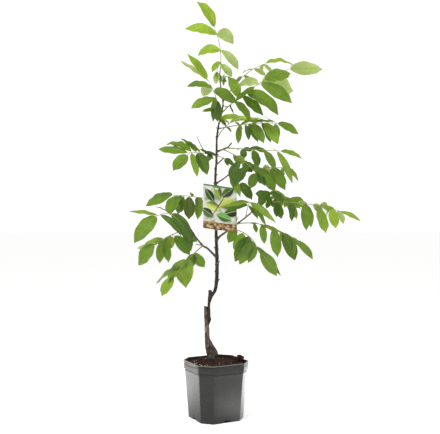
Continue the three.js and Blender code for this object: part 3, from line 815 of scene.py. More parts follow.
BOUGHS = {
    "bough_low_left": [
        [3, 14, 508, 4], [-8, 9, 519, 3.5], [-27, 0, 538, 3.1], [-41, -8, 547, 2.9],
        [-62, -16, 572, 2.6], [-76, -20, 594, 2.4],
    ],
    "bough_low_right": [
        [1.5, 14, 562, 4], [12, 14, 575, 3.4], [35, 15, 592, 3], [68, 17, 616, 2.7],
        [110, 19, 649, 2.4], [134, 20, 680, 2.2],
    ],
    "bough_mid_right": [
        [2.2, 13, 847, 3.2], [11, 9, 850, 2.7], [22, 5, 854, 2.5], [37, 1, 860, 2.4],
        [46, -1, 869, 2.1],
    ],
    "bough_inner_right": [
        [-1.4, 14, 742, 3.2], [8, 6, 750, 2.6], [22, -6, 758, 2.4], [36, -18, 768, 2.1],
    ],
}


def on_limb(rows, t):
    """The place and radius at t from 0 to 1, on a smooth curve through the rows."""
    rows = np.asarray(rows, float)
    last = len(rows) - 1
    i = min(int(t * last), last - 1)
    k = t * last - i
    p1, p2 = rows[i, :3], rows[i + 1, :3]
    p0 = rows[i - 1, :3] if i else 2 * p1 - p2
    p3 = rows[i + 2, :3] if i + 2 <= last else 2 * p2 - p1
    m1, m2 = (p2 - p0) / 2, (p3 - p1) / 2
    at = ((2 * p1 - 2 * p2 + m1 + m2) * k ** 3 + (3 * p2 - 3 * p1 - 2 * m1 - m2) * k ** 2
          + m1 * k + p1)
    return at, rows[i, 3] + (rows[i + 1, 3] - rows[i, 3]) * k


def tangent(at, t):
    """The way a curve runs at t, where at gives its places."""
    return unit(at(min(t + 1e-4, 1)) - at(max(t - 1e-4, 0)))


def limb_tip(name):
    """The end of a limb, and the way it points there."""
    rows = {**LIMBS, **BOUGHS}[name]
    at = lambda t: on_limb(rows, t)[0]
    return at(1.0), tangent(at, 1.0)


print("limbs:", ", ".join([*LIMBS, *BOUGHS]))

# %% [markdown]
# ## The crown's rule
#
# A walnut's leaf is compound: a stalk with pairs of leaflets along it and one at its end. Each
# row of the table is one such leaf, and a mass of foliage is one or more of them. The rule is
# the one that placed the solids, written again: the stalk is a simple arc, the leaflets stand
# along it in pairs, hang by their own weight, curve down towards their tips, and turn a little
# more or less where they would touch another mass. The draws have to come in the same order,
# or the leaves would no longer be where the solids are. The table differs from the solids' one
# in two things: a few stalks sag some millimetres more, and the last rows of `top` and
# `front_right` are small young leaves that were too small for a solid.

# %% The table of compound leaves
LEAF = dict(last=0.95, sizes=[0.6, 1], spread=[60, 60], hang=[0, 0], droop=[0.15, 0.15], tip=0.1,
            wide=0.42)
CROWN = {
    "top": [dict(
        on="leader", to=[-5, 5, 1242], bow=[12, 0, 0], faces=[-108, 5], pairs=3, first=0.17,
        last=0.86, size=118, sizes=[0.55, 1.02], spread=[64, 50], droop=[0.8, 0.2], wide=0.34,
        seed=3, tint=("young", "young"), right="pale"), dict(
        start=[12, 6, 1080], to=[4, -14, 1100], bow=[0, 0, 2], faces=[-90, 30], pairs=2, first=0.5,
        size=27, sizes=[0.8, 1], hang=[0.3, 0.3], wide=0.44, seed=51, tint=("mid", "young")), dict(
        start=[13, 6, 1072], to=[30, -10, 1084], bow=[0, 0, 4], faces=[-90, 30], pairs=2, first=0.5,
        size=24, sizes=[0.8, 1], hang=[0.4, 0.4], wide=0.4, seed=52, tint=("mid", "fresh"))],
    "top_left": [dict(
        start=[10, 11, 938], to=[-26, -40, 1069], bow=[12, -8, 0], faces=[-90, 22], pairs=4,
        first=0.3, size=106, sizes=[0.7, 0.95], spread=[75, 46], hang=[0.35, 0.06],
        droop=[0.3, 0.4], wide=0.38, seed=8, tint=("deep", "mid", "fresh"))],
    "top_right": [dict(
        start=[18.4, 10, 971], to=[238, 50, 1120], bow=[-3, 0, 15], faces=[-90, 26], pairs=4,
        first=0.26, last=0.66, size=114, sizes=[0.66, 1.05], spread=[62, 42],
        hang=[0.1, 0.25], droop=[0.22, 0.6], wide=0.44, seed=2, tint=("deep", "mid", "mid", "fresh"))],
    "top_back": [dict(
        start=[22.8, 9, 1008], to=[168, 190, 1166], bow=[-5, 10, 20], faces=[-50, 50], pairs=3,
        first=0.5, size=96, hang=[0.3, 0.3], seed=6, tint=("pale", "young"))],
    "upper_right": [dict(
        start=[6.5, 12, 920], to=[204, 120, 952], bow=[0, 0, 7], faces=[-90, 42], pairs=4,
        first=0.34, size=86, sizes=[0.85, 1], spread=[52, 50], hang=[0.62, 0.25],
        wide=0.46, seed=4, tint=("mid", "mid", "mid"))],
    "upper_back": [dict(
        start=[3, 12, 890], to=[62, 190, 968], bow=[0, 0, 10], faces=[-90, 55], pairs=3,
        first=0.5, size=86, hang=[0.4, 0.4], seed=30, tint=("mid", "fresh"))],
    "mid_right": [dict(
        start=[37, 1, 858], to=[200, -50, 844], bow=[0, 0, 0], faces=[-90, 42], pairs=4,
        first=0.2, size=84, sizes=[0.6, 1.1], spread=[48, 45], hang=[0.6, 0.2],
        droop=[0.25, 0.15], wide=0.44, seed=7, tint=("deep", "mid", "fresh"))],
    "front_right": [dict(
        start=[22, 5, 854], to=[122, -130, 770], bow=[6, 0, 6], faces=[-60, 50], pairs=4,
        first=0.3, size=84, sizes=[0.75, 1], spread=[64, 56], hang=[0.4, 0.4],
        wide=0.5, seed=5, tint=("deep", "deep", "mid")), dict(
        start=[5, 9, 833], to=[28, -20, 820], bow=[0, 0, 2], faces=[-90, 40], pairs=1, first=0.9,
        size=40, hang=[0.3, 0.3], seed=53, tint=("deep", "mid"))],
    "inner_right": [dict(
        on="bough_inner_right", to=[236, 40, 797], bow=[0, 0, 10], faces=[-90, 40], pairs=5,
        first=0.26, size=74, sizes=[0.8, 1.1], spread=[50, 50], hang=[0.55, 0.3],
        wide=0.44, seed=11, tint=("mid", "fresh", "young", "turning"))],
    "right": [dict(
        on="bough_low_right", to=[396, -10, 656], bow=[0, 0, 13], faces=[-90, 42], pairs=6,
        first=0.22, size=74, sizes=[0.6, 1.1], spread=[66, 55], hang=[0.8, 0.15],
        wide=0.44, seed=13, tint=("deep", "mid", "fresh", "young")), dict(
        on="bough_low_right", to=[254, 190, 704], bow=[0, 0, 6], faces=[-60, 60], pairs=4,
        first=0.36, size=84, hang=[0.4, 0.4], seed=31, tint=("mid", "fresh")), dict(
        on="bough_low_right", to=[170, -60, 716], bow=[0, 0, 8], faces=[-60, 50], pairs=2,
        first=0.6, size=66, spread=[50, 50], hang=[0.5, 0.4], seed=34, tint=("mid", "mid"))],
    "label": [dict(
        start=[96, 18.4, 638], to=[106, -90, 684], bow=[0, 0, 10], faces=[-100, 30], pairs=2,
        first=0.6, size=80, sizes=[1, 1], spread=[78, 50], hang=[0.3, 0.6], wide=0.34,
        seed=14, tint=("mid", "fresh"))],
    "low_right": [dict(
        start=[68, 17, 616], to=[242, -100, 568], bow=[0, 0, 20], faces=[-85, 42], pairs=5,
        first=0.24, size=80, sizes=[0.5, 1.1], spread=[62, 55], hang=[0.72, 0.25], tip=0.3,
        wide=0.46, seed=12, tint=("mid", "deep", "mid"))],
    "low_front": [dict(
        start=[48, 16, 602], to=[124, -110, 544], bow=[14, 0, 8], faces=[-70, 50], pairs=4,
        first=0.36, size=86, sizes=[0.85, 1.05], spread=[76, 52], hang=[0.55, 0.5],
        wide=0.5, seed=15, tint=("deep", "mid", "mid"))],
    "low_back": [dict(
        start=[1, 14, 575], to=[20, 190, 640], bow=[0, 0, 10], faces=[-90, 60], pairs=3,
        first=0.45, size=84, hang=[0.4, 0.4], seed=32, tint=("mid", "mid"))],
    "upper_left": [dict(
        start=[1.8, 13, 834], to=[-90, 60, 848], bow=[0, 0, 4], faces=[-90, 40], pairs=4,
        first=0.34, size=98, sizes=[0.64, 0.92], spread=[34, 98], hang=[0.03, 0.7],
        droop=[0.05, 0.15], seed=17, tint=("deep", "mid", "mid"))],
    "mid_back": [dict(
        start=[-1.4, 14, 712], to=[-20, 190, 748], bow=[0, 0, 4], faces=[-90, 60], pairs=3,
        first=0.5, size=78, hang=[0.4, 0.4], seed=33, tint=("mid", "fresh"))],
    "mid_left": [dict(
        start=[-1.2, 14, 690], to=[-146, 70, 710], bow=[0, 0, 4], faces=[-90, 40], pairs=4,
        first=0.3, size=98, sizes=[0.7, 0.95], spread=[55, 84], hang=[0.1, 0.6],
        droop=[0.2, 0.2], wide=0.46, seed=18, tint=("deep", "deep", "mid"))],
    "left": [dict(
        on="bough_low_left", to=[-182, -60, 641], bow=[0, 0, 26], faces=[-90, 36], pairs=2,
        first=0.62, size=106, sizes=[1, 0.95], spread=[12, 104], hang=[0, 0.55],
        droop=[0.04, 0.1], tip=0.4, wide=0.44, seed=20, tint=("mid", "mid")), dict(
        on="bough_low_left", to=[-197, 40, 549], bow=[0, 0, 9], faces=[-90, 42], pairs=4,
        first=0.3, size=88, sizes=[0.75, 1], spread=[50, 88], hang=[0.25, 0.66],
        wide=0.46, seed=21, tint=("mid", "mid", "fresh"))],
    "lowest_left": [dict(
        start=[-41, -8, 547], to=[-128, -100, 455], bow=[0, 0, 6], faces=[-60, 40], pairs=4,
        first=0.28, size=74, sizes=[0.9, 1.1], spread=[48, 72], hang=[0.4, 0.5],
        wide=0.44, seed=22, tint=("mid", "fresh", "young"))],
}
print("compound leaves:", sum(len(leaves) for leaves in CROWN.values()))


# %% [markdown]
# ## Where the leaflets of the front end
#
# A rule alone gives every leaflet the same hang, and a real crown is less tidy: one leaflet
# curls under its neighbour, another is blown over. So the rule keeps the foot, and for the
# leaflets that show from the front a second table gives the end of each, in millimetres, with
# its tint, its width as a share of its length, how high it arches, and how its upper side
# faces: 0 degrees to the front and 90 up. All of them stay in the space of their own mass.

# %% The table of ends
FRONT = np.array([0.0, -1.0, 0.0])
BARE = 0.035


def tip(x, y, z, tint=None, wide=None, arch=0.06, face=25, turn=0, foot=None, bare=BARE):
    """A leaflet's end. foot is its place on the stalk, where the rule's own doesn't serve,
    and bare the share of its length that has no blade yet."""
    return dict(end=np.array([x, y, z], float), tint=tint, wide=wide, arch=arch, face=face,
                turn=turn, foot=foot, bare=bare)


TIPS = {  # x, y, z, tint, width, arch, and what else is not as the rule has it
    ("top", 0): dict(
        E=tip(-61, -7, 1323, wide=0.38, arch=0.1, face=12, turn=5),
        L2=tip(-99, 20, 1240, wide=0.36, arch=0.1), L1=tip(-58, 29, 1156, wide=0.4, arch=0.18),
        L0=tip(-13, 23, 1104, wide=0.5, arch=0.1, foot=0.27), R2=tip(56, -24, 1184, wide=0.5, arch=0.16),
        R1=tip(69, -15, 1103, wide=0.3, arch=0.1), R0=tip(50, -4, 1083, wide=0.56, arch=0, foot=0.25)),
    ("top_left", 0): dict(
        E=tip(-90, -49, 1148, "young", 0.32, 0.04, turn=20),
        L3=tip(-88, -62, 1041, "mid", 0.3, 0.13, foot=0.8),
        R3=tip(-117, -16, 1132, "pale", 0.17, 0.03, face=60),
        L2=tip(-76, -58, 975, "fresh", 0.36, 0.04, foot=0.57), L1=tip(-8, -42, 937, "deep", 0.3),
        R2=tip(66, -10, 1000, "mid", 0.5, 0.05), R1=tip(5, -11, 940, "deep", 0.44),
        L0=tip(-45, -35, 971, "mid", 0.26), R0=tip(78, -22, 954, "young", 0.3, 0.03, foot=0.12),
        X0=tip(-40, 20, 1025, "pale", 0.5, foot=0.88), X1=tip(-41, 10, 1001, "mid", 0.4, foot=0.55),
        X2=tip(-11, -30, 942, "fresh", 0.24, foot=0.6)),
    ("top_right", 0): dict(
        X1=tip(56, 10, 969, "deep", 0.22, foot=0.12), X2=tip(21, 0, 1013, "mid", 0.34, foot=0.18),
        R0=tip(109, 7, 946, "mid", 0.38, foot=0.2), R1=tip(153, 11, 964, "deep", 0.42, 0.02, foot=0.31),
        R2=tip(201, 7, 964, "mid", 0.38, 0.12, foot=0.37),
        R3=tip(243, 4, 1002, "mid", 0.36, 0.05, foot=0.58),
        E=tip(351, 79, 1126, "pale", 0.42, 0.01, face=20), L3=tip(249, 90, 1111, "fresh", 0.46, face=15),
        L2=tip(259, 110, 1057, "pale", 0.54, 0.1, bare=0.16),
        L1=tip(71, 60, 1066, "pale", 0.6, 0.12, foot=0.56),
        L0=tip(40, -10, 1082, "fresh", 0.5, face=5, turn=20, foot=0.26),
        X0=tip(62, -10, 1002, "mid", 0.4, 0.03, face=45, foot=0.5),
        X3=tip(28, -5, 986, "fresh", 0.4, foot=0.1)),
    ("top_back", 0): dict(
        E=tip(277, 248, 1167, "young", 0.28, 0.12, face=45), L2=tip(161, 243, 1139, "young", 0.45),
        R2=tip(195, 180, 1126, "pale", 0.34), R1=tip(169, 152, 1117, "pale", 0.36),
        L1=tip(93, 211, 1137, "pale", 0.34), R0=tip(121, 125, 1085, "fresh", 0.45),
        L0=tip(67, 142, 1091, "fresh", 0.36)),
    ("upper_right", 0): dict(
        R0=tip(72, 43, 877, "mid", 0.34), L0=tip(109, 90, 892, "deep", 0.3, foot=0.45),
        R1=tip(155, 64, 878, "mid", 0.4, 0.07), L1=tip(162, 135, 956, "mid", 0.13, 0.1, foot=0.36),
        X0=tip(137, 110, 887, "deep", 0.32, foot=0.5), R2=tip(207, 89, 879, "fresh", 0.42, 0.05),
        L2=tip(209, 163, 959, "mid", 0.12, foot=0.55), X1=tip(186, 140, 890, "deep", 0.3, foot=0.72),
        R3=tip(207, 160, 897, "fresh", 0.36), L3=tip(156, 120, 979, "fresh", 0.12, face=80),
        E=tip(281, 155, 921, "mid", 0.36, 0.05)),
    ("upper_back", 0): dict(
        E=tip(93, 220, 941, "mid", 0.16), L1=tip(20, 120, 967, "pale", 0.26, 0.05),
        R1=tip(84, 130, 980, "pale", 0.28, 0.03), R2=tip(107, 215, 988, "pale", 0.22, 0.05),
        L2=tip(160, 230, 986, "young", 0.1, 0.03), R0=tip(8, 125, 970, "deep", 0.3),
        L0=tip(53, 130, 923, "mid", 0.24)),
    ("mid_right", 0): dict(
        R0=tip(89, -25, 822, "deep", 0.66, foot=0.29), L0=tip(75, 3, 849, "deep", 0.34),
        R1=tip(132, -43, 792, "deep", 0.5, foot=0.5), L1=tip(161, -4, 845, "mid", 0.4, foot=0.54),
        R2=tip(186, -57, 785, "mid", 0.33, foot=0.7), L2=tip(144, -26, 854, "deep", 0.34, foot=0.42),
        R3=tip(238, -71, 742, "fresh", 0.19, foot=0.94), L3=tip(178, -41, 853, "deep", 0.2, face=60),
        E=tip(264, -78, 816, "fresh", 0.24, 0.1), X0=tip(115, -10, 847, "deep", 0.5, foot=0.3)),
    ("inner_right", 0): dict(
        R0=tip(77, -13, 749, "deep", 0.4), L0=tip(101, 41, 820, "deep", 0.3),
        R1=tip(156, -3, 737, "deep", 0.34, bare=0.35, foot=0.42), L1=tip(150, 56, 769, "mid", 0.4),
        R2=tip(190, 11, 719, "mid", 0.44, 0.05, foot=0.49), L2=tip(188, 76, 765, "pale", 0.6, foot=0.56),
        R3=tip(220, 14, 723, "mid", 0.4, 0.02, foot=0.7), L3=tip(234, 80, 747, "mid", 0.16),
        R4=tip(243, 22, 751, "fresh", 0.26), L4=tip(216, 104, 761, "mid", 0.3),
        E=tip(269, 56, 754, "turning", 0.34, 0.04), X0=tip(78, -60, 700, "fresh", 0.22, foot=0.04),
        X1=tip(56, -50, 725, "mid", 0.4, foot=0.07), X2=tip(65, -40, 734, "deep", 0.4, foot=0.12),
        X3=tip(111, -60, 690, "deep", 0.26, bare=0.4, foot=0.06)),
    ("front_right", 0): dict(
        R0=tip(89, -60, 801, "fresh", 0.5, bare=0.15), L0=tip(65, -34, 808, "mid", 0.36),
        R1=tip(42, -70, 758, "deep", 0.4, face=35, bare=0.1),
        L1=tip(111, -90, 774, "deep", 0.7, face=30, foot=0.62),
        R2=tip(60, -110, 736, "deep", 0.64, face=5, turn=-30), L2=tip(148, -89, 764, "mid", 0.36),
        R3=tip(134, -120, 738, "deep", 0.4), L3=tip(141, -110, 747, "mid", 0.36),
        E=tip(104, -135, 724, "mid", 0.68, face=15, turn=5)),
    ("upper_left", 0): dict(
        E=tip(-194, 110, 864, "mid", 0.26, 0.02, face=28),
        R3=tip(-171, 129, 882, "mid", 0.25, 0.12, face=28, foot=0.86),
        R2=tip(-119, 108, 900, "mid", 0.24, face=35, foot=0.7),
        R1=tip(-99, 89, 885, "mid", 0.2, 0.07, face=60), R0=tip(-33, 78, 822, "deep", 0.5, foot=0.12),
        L3=tip(-140, 37, 788, "mid", 0.5, 0.03, bare=0.16), L2=tip(-58, 30, 768, "fresh", 0.28, foot=0.9),
        L1=tip(-28, 25, 774, "deep", 0.46, face=10, foot=0.68), L0=tip(-9, 16, 823, "deep", 0.4),
        X0=tip(-35, 20, 847, "deep", 0.42, foot=0.12), X1=tip(-53, 20, 856, "mid", 0.36, foot=0.3),
        X2=tip(-16, 10, 844, "mid", 0.5, foot=0.04)),
    ("mid_left", 0): dict(
        E=tip(-234, 96, 672, "mid", 0.46, 0.03), L3=tip(-144, 10, 644, "mid", 0.62, face=5, bare=0.06),
        L2=tip(-113, 60, 654, "deep", 0.4), L1=tip(-89, 25, 630, "shade", 0.5, foot=0.585),
        L0=tip(-59, 12, 629, "mid", 0.36, foot=0.34), R3=tip(-189, 131, 695, "mid", 0.3),
        R2=tip(-128, 120, 648, "deep", 0.4), R1=tip(-79, 98, 716, "mid", 0.3),
        R0=tip(-51, 81, 656, "shade", 0.7, foot=0.31)),
    ("left", 0): dict(
        E=tip(-250, -89, 559, "mid", 0.44, 0.05), R1=tip(-266, -89, 653, "fresh", 0.17, 0.05, face=30),
        R0=tip(-189, -61, 671, "mid", 0.18, face=60), L1=tip(-103, -79, 579, "deep", 0.2, 0.12),
        L0=tip(-75, -67, 565, "deep", 0.33, 0.1), X0=tip(-78, -40, 531, "deep", 0.3, foot=0.3)),
    ("left", 1): dict(
        L0=tip(-83, -21, 516, "deep", 0.4, bare=0.1, foot=0.5),
        L1=tip(-146, -6, 535, "fresh", 0.46, bare=0.18), L2=tip(-151, 5, 492, "mid", 0.34, bare=0.14),
        L3=tip(-180, 16, 490, "mid", 0.4, bare=0.1, foot=0.8), E=tip(-253, 69, 478, "mid", 0.62, 0.04),
        R3=tip(-262, 96, 533, "pale", 0.22, 0), R2=tip(-241, 86, 542, "fresh", 0.26, 0),
        R1=tip(-190, 66, 553, "mid", 0.3, -0.12), R0=tip(-62, 53, 555, "deep", 0.4)),
    ("lowest_left", 0): dict(
        L0=tip(-36, -48, 480, "mid", 0.56, -0.12),
        R0=tip(-88, -47, 476, "deep", 0.6, 0, face=8, foot=0.3), L1=tip(-79, -65, 436, "fresh", 0.32),
        L2=tip(-90, -79, 420, "fresh", 0.5, foot=0.72), R1=tip(-151, -65, 442, "mid", 0.46, 0.03),
        R2=tip(-194, 40, 422, "mid", 0.16, 0.04, face=40), E=tip(-163, -131, 399, "fresh", 0.44),
        L3=tip(-99, -104, 431, "fresh", 0.3), R3=tip(-144, -115, 438, "mid", 0.3)),
    ("right", 0): dict(
        R0=tip(195, 8, 637, "deep", 0.5), L0=tip(211, 35, 632, "deep", 0.42),
        R1=tip(242, 1, 623, "deep", 0.38, foot=0.41), R2=tip(286, -4, 594, "mid", 0.34, foot=0.56),
        R3=tip(349, -8, 586, "fresh", 0.43, 0.02, foot=0.72),
        R4=tip(378, -14, 602, "young", 0.5, foot=0.885), R5=tip(404, -18, 616, "pale", 0.5, foot=0.96),
        E=tip(458, -14, 624, "young", 0.24), L1=tip(262, 60, 631, "mid", 0.3),
        L2=tip(311, 60, 604, "mid", 0.28, foot=0.56), L3=tip(296, 32, 680, "pale", 0.42, 0.01, foot=0.48),
        L4=tip(347, 25, 651, "pale", 0.5, 0.02, foot=0.66),
        L5=tip(391, 32, 653, "young", 0.4, 0, foot=0.8),
        X0=tip(359, 40, 638, "pale", 0.36, 0.3, foot=0.74)),
    ("right", 1): dict(
        R0=tip(167, 82, 666, "deep", 0.5), L0=tip(129, 60, 716, "deep", 0.64),
        R1=tip(188, 113, 670, "deep", 0.5), R2=tip(203, 145, 652, "mid", 0.4),
        R3=tip(234, 172, 669, "mid", 0.4), L1=tip(184, 165, 708, "mid", 0.4, 0.01),
        L2=tip(204, 208, 707, "mid", 0.34, 0.01), L3=tip(225, 253, 705, "mid", 0.34, 0.01),
        E=tip(297, 120, 665, "mid", 0.42), X0=tip(280, 60, 667, "mid", 0.24, face=15, foot=0.5)),
    ("right", 2): dict(
        E=tip(204, -119, 677, "deep", 0.42), R0=tip(141, -55, 669, "deep", 0.46),
        L0=tip(176, -40, 672, "deep", 0.4), R1=tip(129, -104, 681, "deep", 0.4),
        L1=tip(220, -76, 689, "mid", 0.36)),
    ("label", 0): dict(
        R1=tip(32, -97, 667, "fresh", 0.24, face=35), R0=tip(30, -79, 655, "deep", 0.22),
        L1=tip(153, -105, 609, "mid", 0.18), L0=tip(131, -80, 630, "deep", 0.2),
        E=tip(178, -173, 619, "fresh", 0.14, 0.03), X0=tip(167, -80, 647, "mid", 0.14, foot=0.96),
        X1=tip(146, -70, 653, "deep", 0.16, foot=0.9)),
    ("low_right", 0): dict(
        R0=tip(129, 0, 588, "mid", 0.42, foot=0.3), R1=tip(152, -46, 554, "mid", 0.37, foot=0.44),
        R2=tip(192, -71, 514, "mid", 0.37, foot=0.63), R3=tip(242, -90, 505, "deep", 0.42),
        E=tip(293, -123, 510, "mid", 0.28, 0.07), R4=tip(235, -114, 520, "mid", 0.34),
        L2=tip(205, -47, 590, "fresh", 0.3, 0, face=40, foot=0.46), L3=tip(213, -62, 551, "fresh", 0.36),
        L1=tip(166, -22, 603, "mid", 0.24, 0), L0=tip(134, -2, 617, "mid", 0.22, 0),
        L4=tip(260, -80, 546, "fresh", 0.34)),
    ("low_front", 0): dict(
        R0=tip(38, -40, 557, "mid", 0.52, foot=0.12), L0=tip(64, -30, 523, "mid", 0.6, 0),
        R1=tip(59, -86, 501, "deep", 0.5, 0), R2=tip(73, -115, 494, "mid", 0.5, 0, face=50),
        R3=tip(98, -123, 499, "mid", 0.46, 0), L1=tip(85, -63, 528, "mid", 0.56, 0),
        L2=tip(108, -88, 509, "mid", 0.5, 0), E=tip(181, -163, 463, "mid", 0.34, bare=0.2),
        L3=tip(197, -116, 459, "deep", 0.16, 0.03)),
    ("top", 1): dict(
        E=tip(1, -14, 1059, "pale", 0.5, 0.05), R0=tip(18, -14, 1064, "mid", 0.44),
        L0=tip(-7, -14, 1072, "fresh", 0.4)),
    ("top", 2): dict(
        E=tip(25, -10, 1054, "mid", 0.26, 0.2), R0=tip(34, -10, 1065, "mid", 0.34)),
    ("front_right", 1): dict(
        E=tip(58, -30, 797, "deep", 0.42, 0.07), R0=tip(40, -30, 798, "mid", 0.4),
        L0=tip(51, -20, 817, "mid", 0.36)),
    ("mid_back", 0): dict(
        L0=tip(-28, 105, 660), L1=tip(-34, 160, 672), L2=tip(-38, 198, 690), R0=tip(22, 120, 655),
        R1=tip(30, 165, 668), R2=tip(40, 215, 690), E=tip(-5, 262, 680)),
    ("low_back", 0): dict(
        L0=tip(-24, 125, 628), L1=tip(-26, 160, 640), L2=tip(-30, 205, 644), E=tip(16, 262, 640)),
}
print("ends given:", sum(len(ends) for ends in TIPS.values()))


# %% Where the leaflets stand
STEM_REACH = 5
SIDE_SHIFT = 0.02
SPREAD_DRAW, ROLL_DRAW, TWIST_DRAW = 20, 0.24, 36
SHORTEST_DRAW, LENGTH_DRAW = 0.92, 0.16


def stalk_of(leaf):
    """The arc of a leaf's stalk, as a function of t from 0 to 1."""
    if "start" in leaf:
        foot = np.array(leaf["start"], float)
    else:
        joint, along = limb_tip(leaf["on"])
        foot = joint + along * STEM_REACH
    end = np.array(leaf["to"], float)
    return arc(foot, (foot + end) / 2 + 2 * np.array(leaf["bow"], float), end)


def heading(bearing, climb):
    b, c = math.radians(bearing), math.radians(climb)
    return np.array([math.cos(b) * math.cos(c), math.sin(b) * math.cos(c), math.sin(c)])


def leaflets_of(leaf, stalk):
    """Each leaflet's foot, way, upper side, length and hang, before it is fitted in."""
    draw = chance(leaf["seed"])
    upper = heading(*leaf["faces"])
    places = []
    for pair in range(leaf["pairs"]):
        share = pair / (leaf["pairs"] - 1) if leaf["pairs"] > 1 else 1
        t = mean(leaf["first"], leaf["last"], share)
        places += [(t + SIDE_SHIFT * side, side, share, f"{'R' if side == 1 else 'L'}{pair}")
                   for side in (1, -1)]
    places.append((1.0, 0, 1.0, "E"))
    found = []
    for t, side, share, key in places:
        along = tangent(stalk, t)
        normal = unit(upper - along * np.dot(upper, along))
        right = np.cross(along, normal)
        hand = 0 if side == 1 else 1
        angle = 0
        if side:
            angle = math.radians(leaf["spread"][hand] + (draw() - 0.5) * SPREAD_DRAW)
        out = unit(along * math.cos(angle) + right * side * math.sin(angle)
                   + normal * (draw() - 0.5) * ROLL_DRAW)
        longest = 1 if side == 0 else mean(*leaf["sizes"], share)
        found.append(dict(
            key=key, foot=stalk(t), out=out, normal=normal, side=side, share=share,
            length=leaf["size"] * longest * (SHORTEST_DRAW + LENGTH_DRAW * draw()),
            twist=math.radians((draw() - 0.5) * TWIST_DRAW),
            hang=leaf["tip"] if side == 0 else leaf["hang"][hand],
            droop=min(leaf["droop"]) if side == 0 else leaf["droop"][hand], wide=leaf["wide"],
        ))
    return found


# %% How a leaflet hangs and curves
def turned(v, axis, angle):
    c, s = math.cos(angle), math.sin(angle)
    return v * c + np.cross(axis, v) * s + axis * np.dot(axis, v) * (1 - c)


def hung(leaflet, more):
    """The leaflet again, sunk from its own way towards straight down."""
    hang = min(max(leaflet["hang"] + more, 0), 0.95)
    out = leaflet["out"]
    way = unit(out * (1 - hang) - UP * hang)
    axis = np.cross(out, way)
    normal = leaflet["normal"]
    if np.linalg.norm(axis) > 1e-9:
        normal = turned(normal, unit(axis), math.acos(min(1, np.dot(out, way))))
    normal = turned(unit(normal - way * np.dot(normal, way)), way, leaflet["twist"])
    return dict(leaflet, way=way, normal=normal)


TURN_DRAW, FACE_DRAW = 50, 20


def led(leaflet, stalk, given, draw):
    """The leaflet again, on an even arch from its foot to a given end."""
    foot = leaflet["foot"] if given["foot"] is None else stalk(given["foot"])
    chord = given["end"] - foot
    span = np.linalg.norm(chord)
    way = chord / span
    lift = UP + 0.35 * FRONT
    bearing = -90 + given["turn"] + (draw() - 0.5) * TURN_DRAW
    facing = heading(bearing, given["face"] + (draw() - 0.5) * FACE_DRAW)
    return dict(
        leaflet, foot=foot, way=way, span=span, arch=given["arch"], tint=given["tint"],
        bare=given["bare"], lift=unit(lift - way * np.dot(lift, way)),
        normal=unit(facing - way * np.dot(facing, way)),
        length=span * (1 + 8 / 3 * given["arch"] ** 2), wide=given["wide"] or leaflet["wide"])


def midrib(leaflet, t):
    """Places on the midrib at the rows t, with the upper side and the way across there."""
    t = np.asarray(t, float)[:, None]
    if "span" in leaflet:
        way, rise = leaflet["way"], leaflet["lift"] * leaflet["arch"] * 4
        at = leaflet["foot"] + leaflet["span"] * (way * t + rise * t * (1 - t))
        along = unit(way + rise * (1 - 2 * t))
    else:
        way, long, droop = leaflet["way"], leaflet["length"], leaflet["droop"]
        at = leaflet["foot"] + way * long * t * (1 - 0.15 * droop * t) - UP * droop * long * t * t
        along = unit(way - UP * 2 * droop * t)
    upper = unit(leaflet["normal"] - along * (along @ leaflet["normal"])[:, None])
    return at, upper, np.cross(along, upper)


# %% How the label hangs
LABEL_WIDTH, LABEL_HEIGHT, LABEL_THICKNESS = 117, 148, 1.0
LABEL_CENTRE = np.array([12.6, -10, 667])
LABEL_TURN, LABEL_LEAN, LABEL_TILT = 25, -16, 7


def label_axes():
    """The card's own x, y and z, as the columns of a matrix."""
    (cz, sz), (cx, sx), (cy, sy) = [
        (math.cos(math.radians(a)), math.sin(math.radians(a)))
        for a in (LABEL_TURN, LABEL_LEAN, LABEL_TILT)]
    about_z = np.array([[cz, -sz, 0], [sz, cz, 0], [0, 0, 1]])
    about_x = np.array([[1, 0, 0], [0, cx, -sx], [0, sx, cx]])
    about_y = np.array([[cy, 0, sy], [0, 1, 0], [-sy, 0, cy]])
    return about_z @ about_x @ about_y


# %% The room that is taken
class Room:
    """What stands already: places with their owner and the air they need."""

    def __init__(self):
        self.at, self.owner, self.air = np.zeros((0, 3)), np.zeros(0, int), np.zeros(0)
        self.owners = {}

    def take(self, places, owner, air):
        number = self.owners.setdefault(owner, len(self.owners))
        places = np.atleast_2d(places)
        self.at = np.vstack([self.at, places])
        self.owner = np.append(self.owner, np.full(len(places), number))
        self.air = np.append(self.air, np.broadcast_to(air, len(places)))

    def is_clear(self, places, owner):
        others = self.owner != self.owners.get(owner, -1)
        at, air = self.at[others], self.air[others]
        far = np.linalg.norm(places[:, None] - at[None], axis=2)
        return bool((far > air[None]).all())


# %% Fitting a leaflet in among the others
FOLD = 0.22
SOLID_OUTLINE = np.array([[0, 0.08], [0.28, 0.92], [0.64, 0.84], [1, 0.03]])
CLEAR = dict(leaf=8, rib=7, limb=5, label=11)
TURNS = [0, 0.12, -0.12, 0.24, -0.24, 0.36, -0.36, 0.5]
SAMPLE_ROWS = np.array([0.1, 0.25, 0.4, 0.55, 0.7, 0.85, 1])
SAMPLE_SHARES = np.array([-0.9, -0.45, 0, 0.45, 0.9])


def samples_of(leaflet):
    """Places on the leaflet that stand for it where it may touch something."""
    at, upper, across = midrib(leaflet, SAMPLE_ROWS)
    half = leaflet["length"] * leaflet["wide"] * np.interp(SAMPLE_ROWS, *SOLID_OUTLINE.T) / 2
    reach = half[:, None] * SAMPLE_SHARES
    points = (at[:, None] + across[:, None] * reach[..., None]
              + upper[:, None] * np.abs(reach)[..., None] * FOLD)
    return points.reshape(-1, 3)


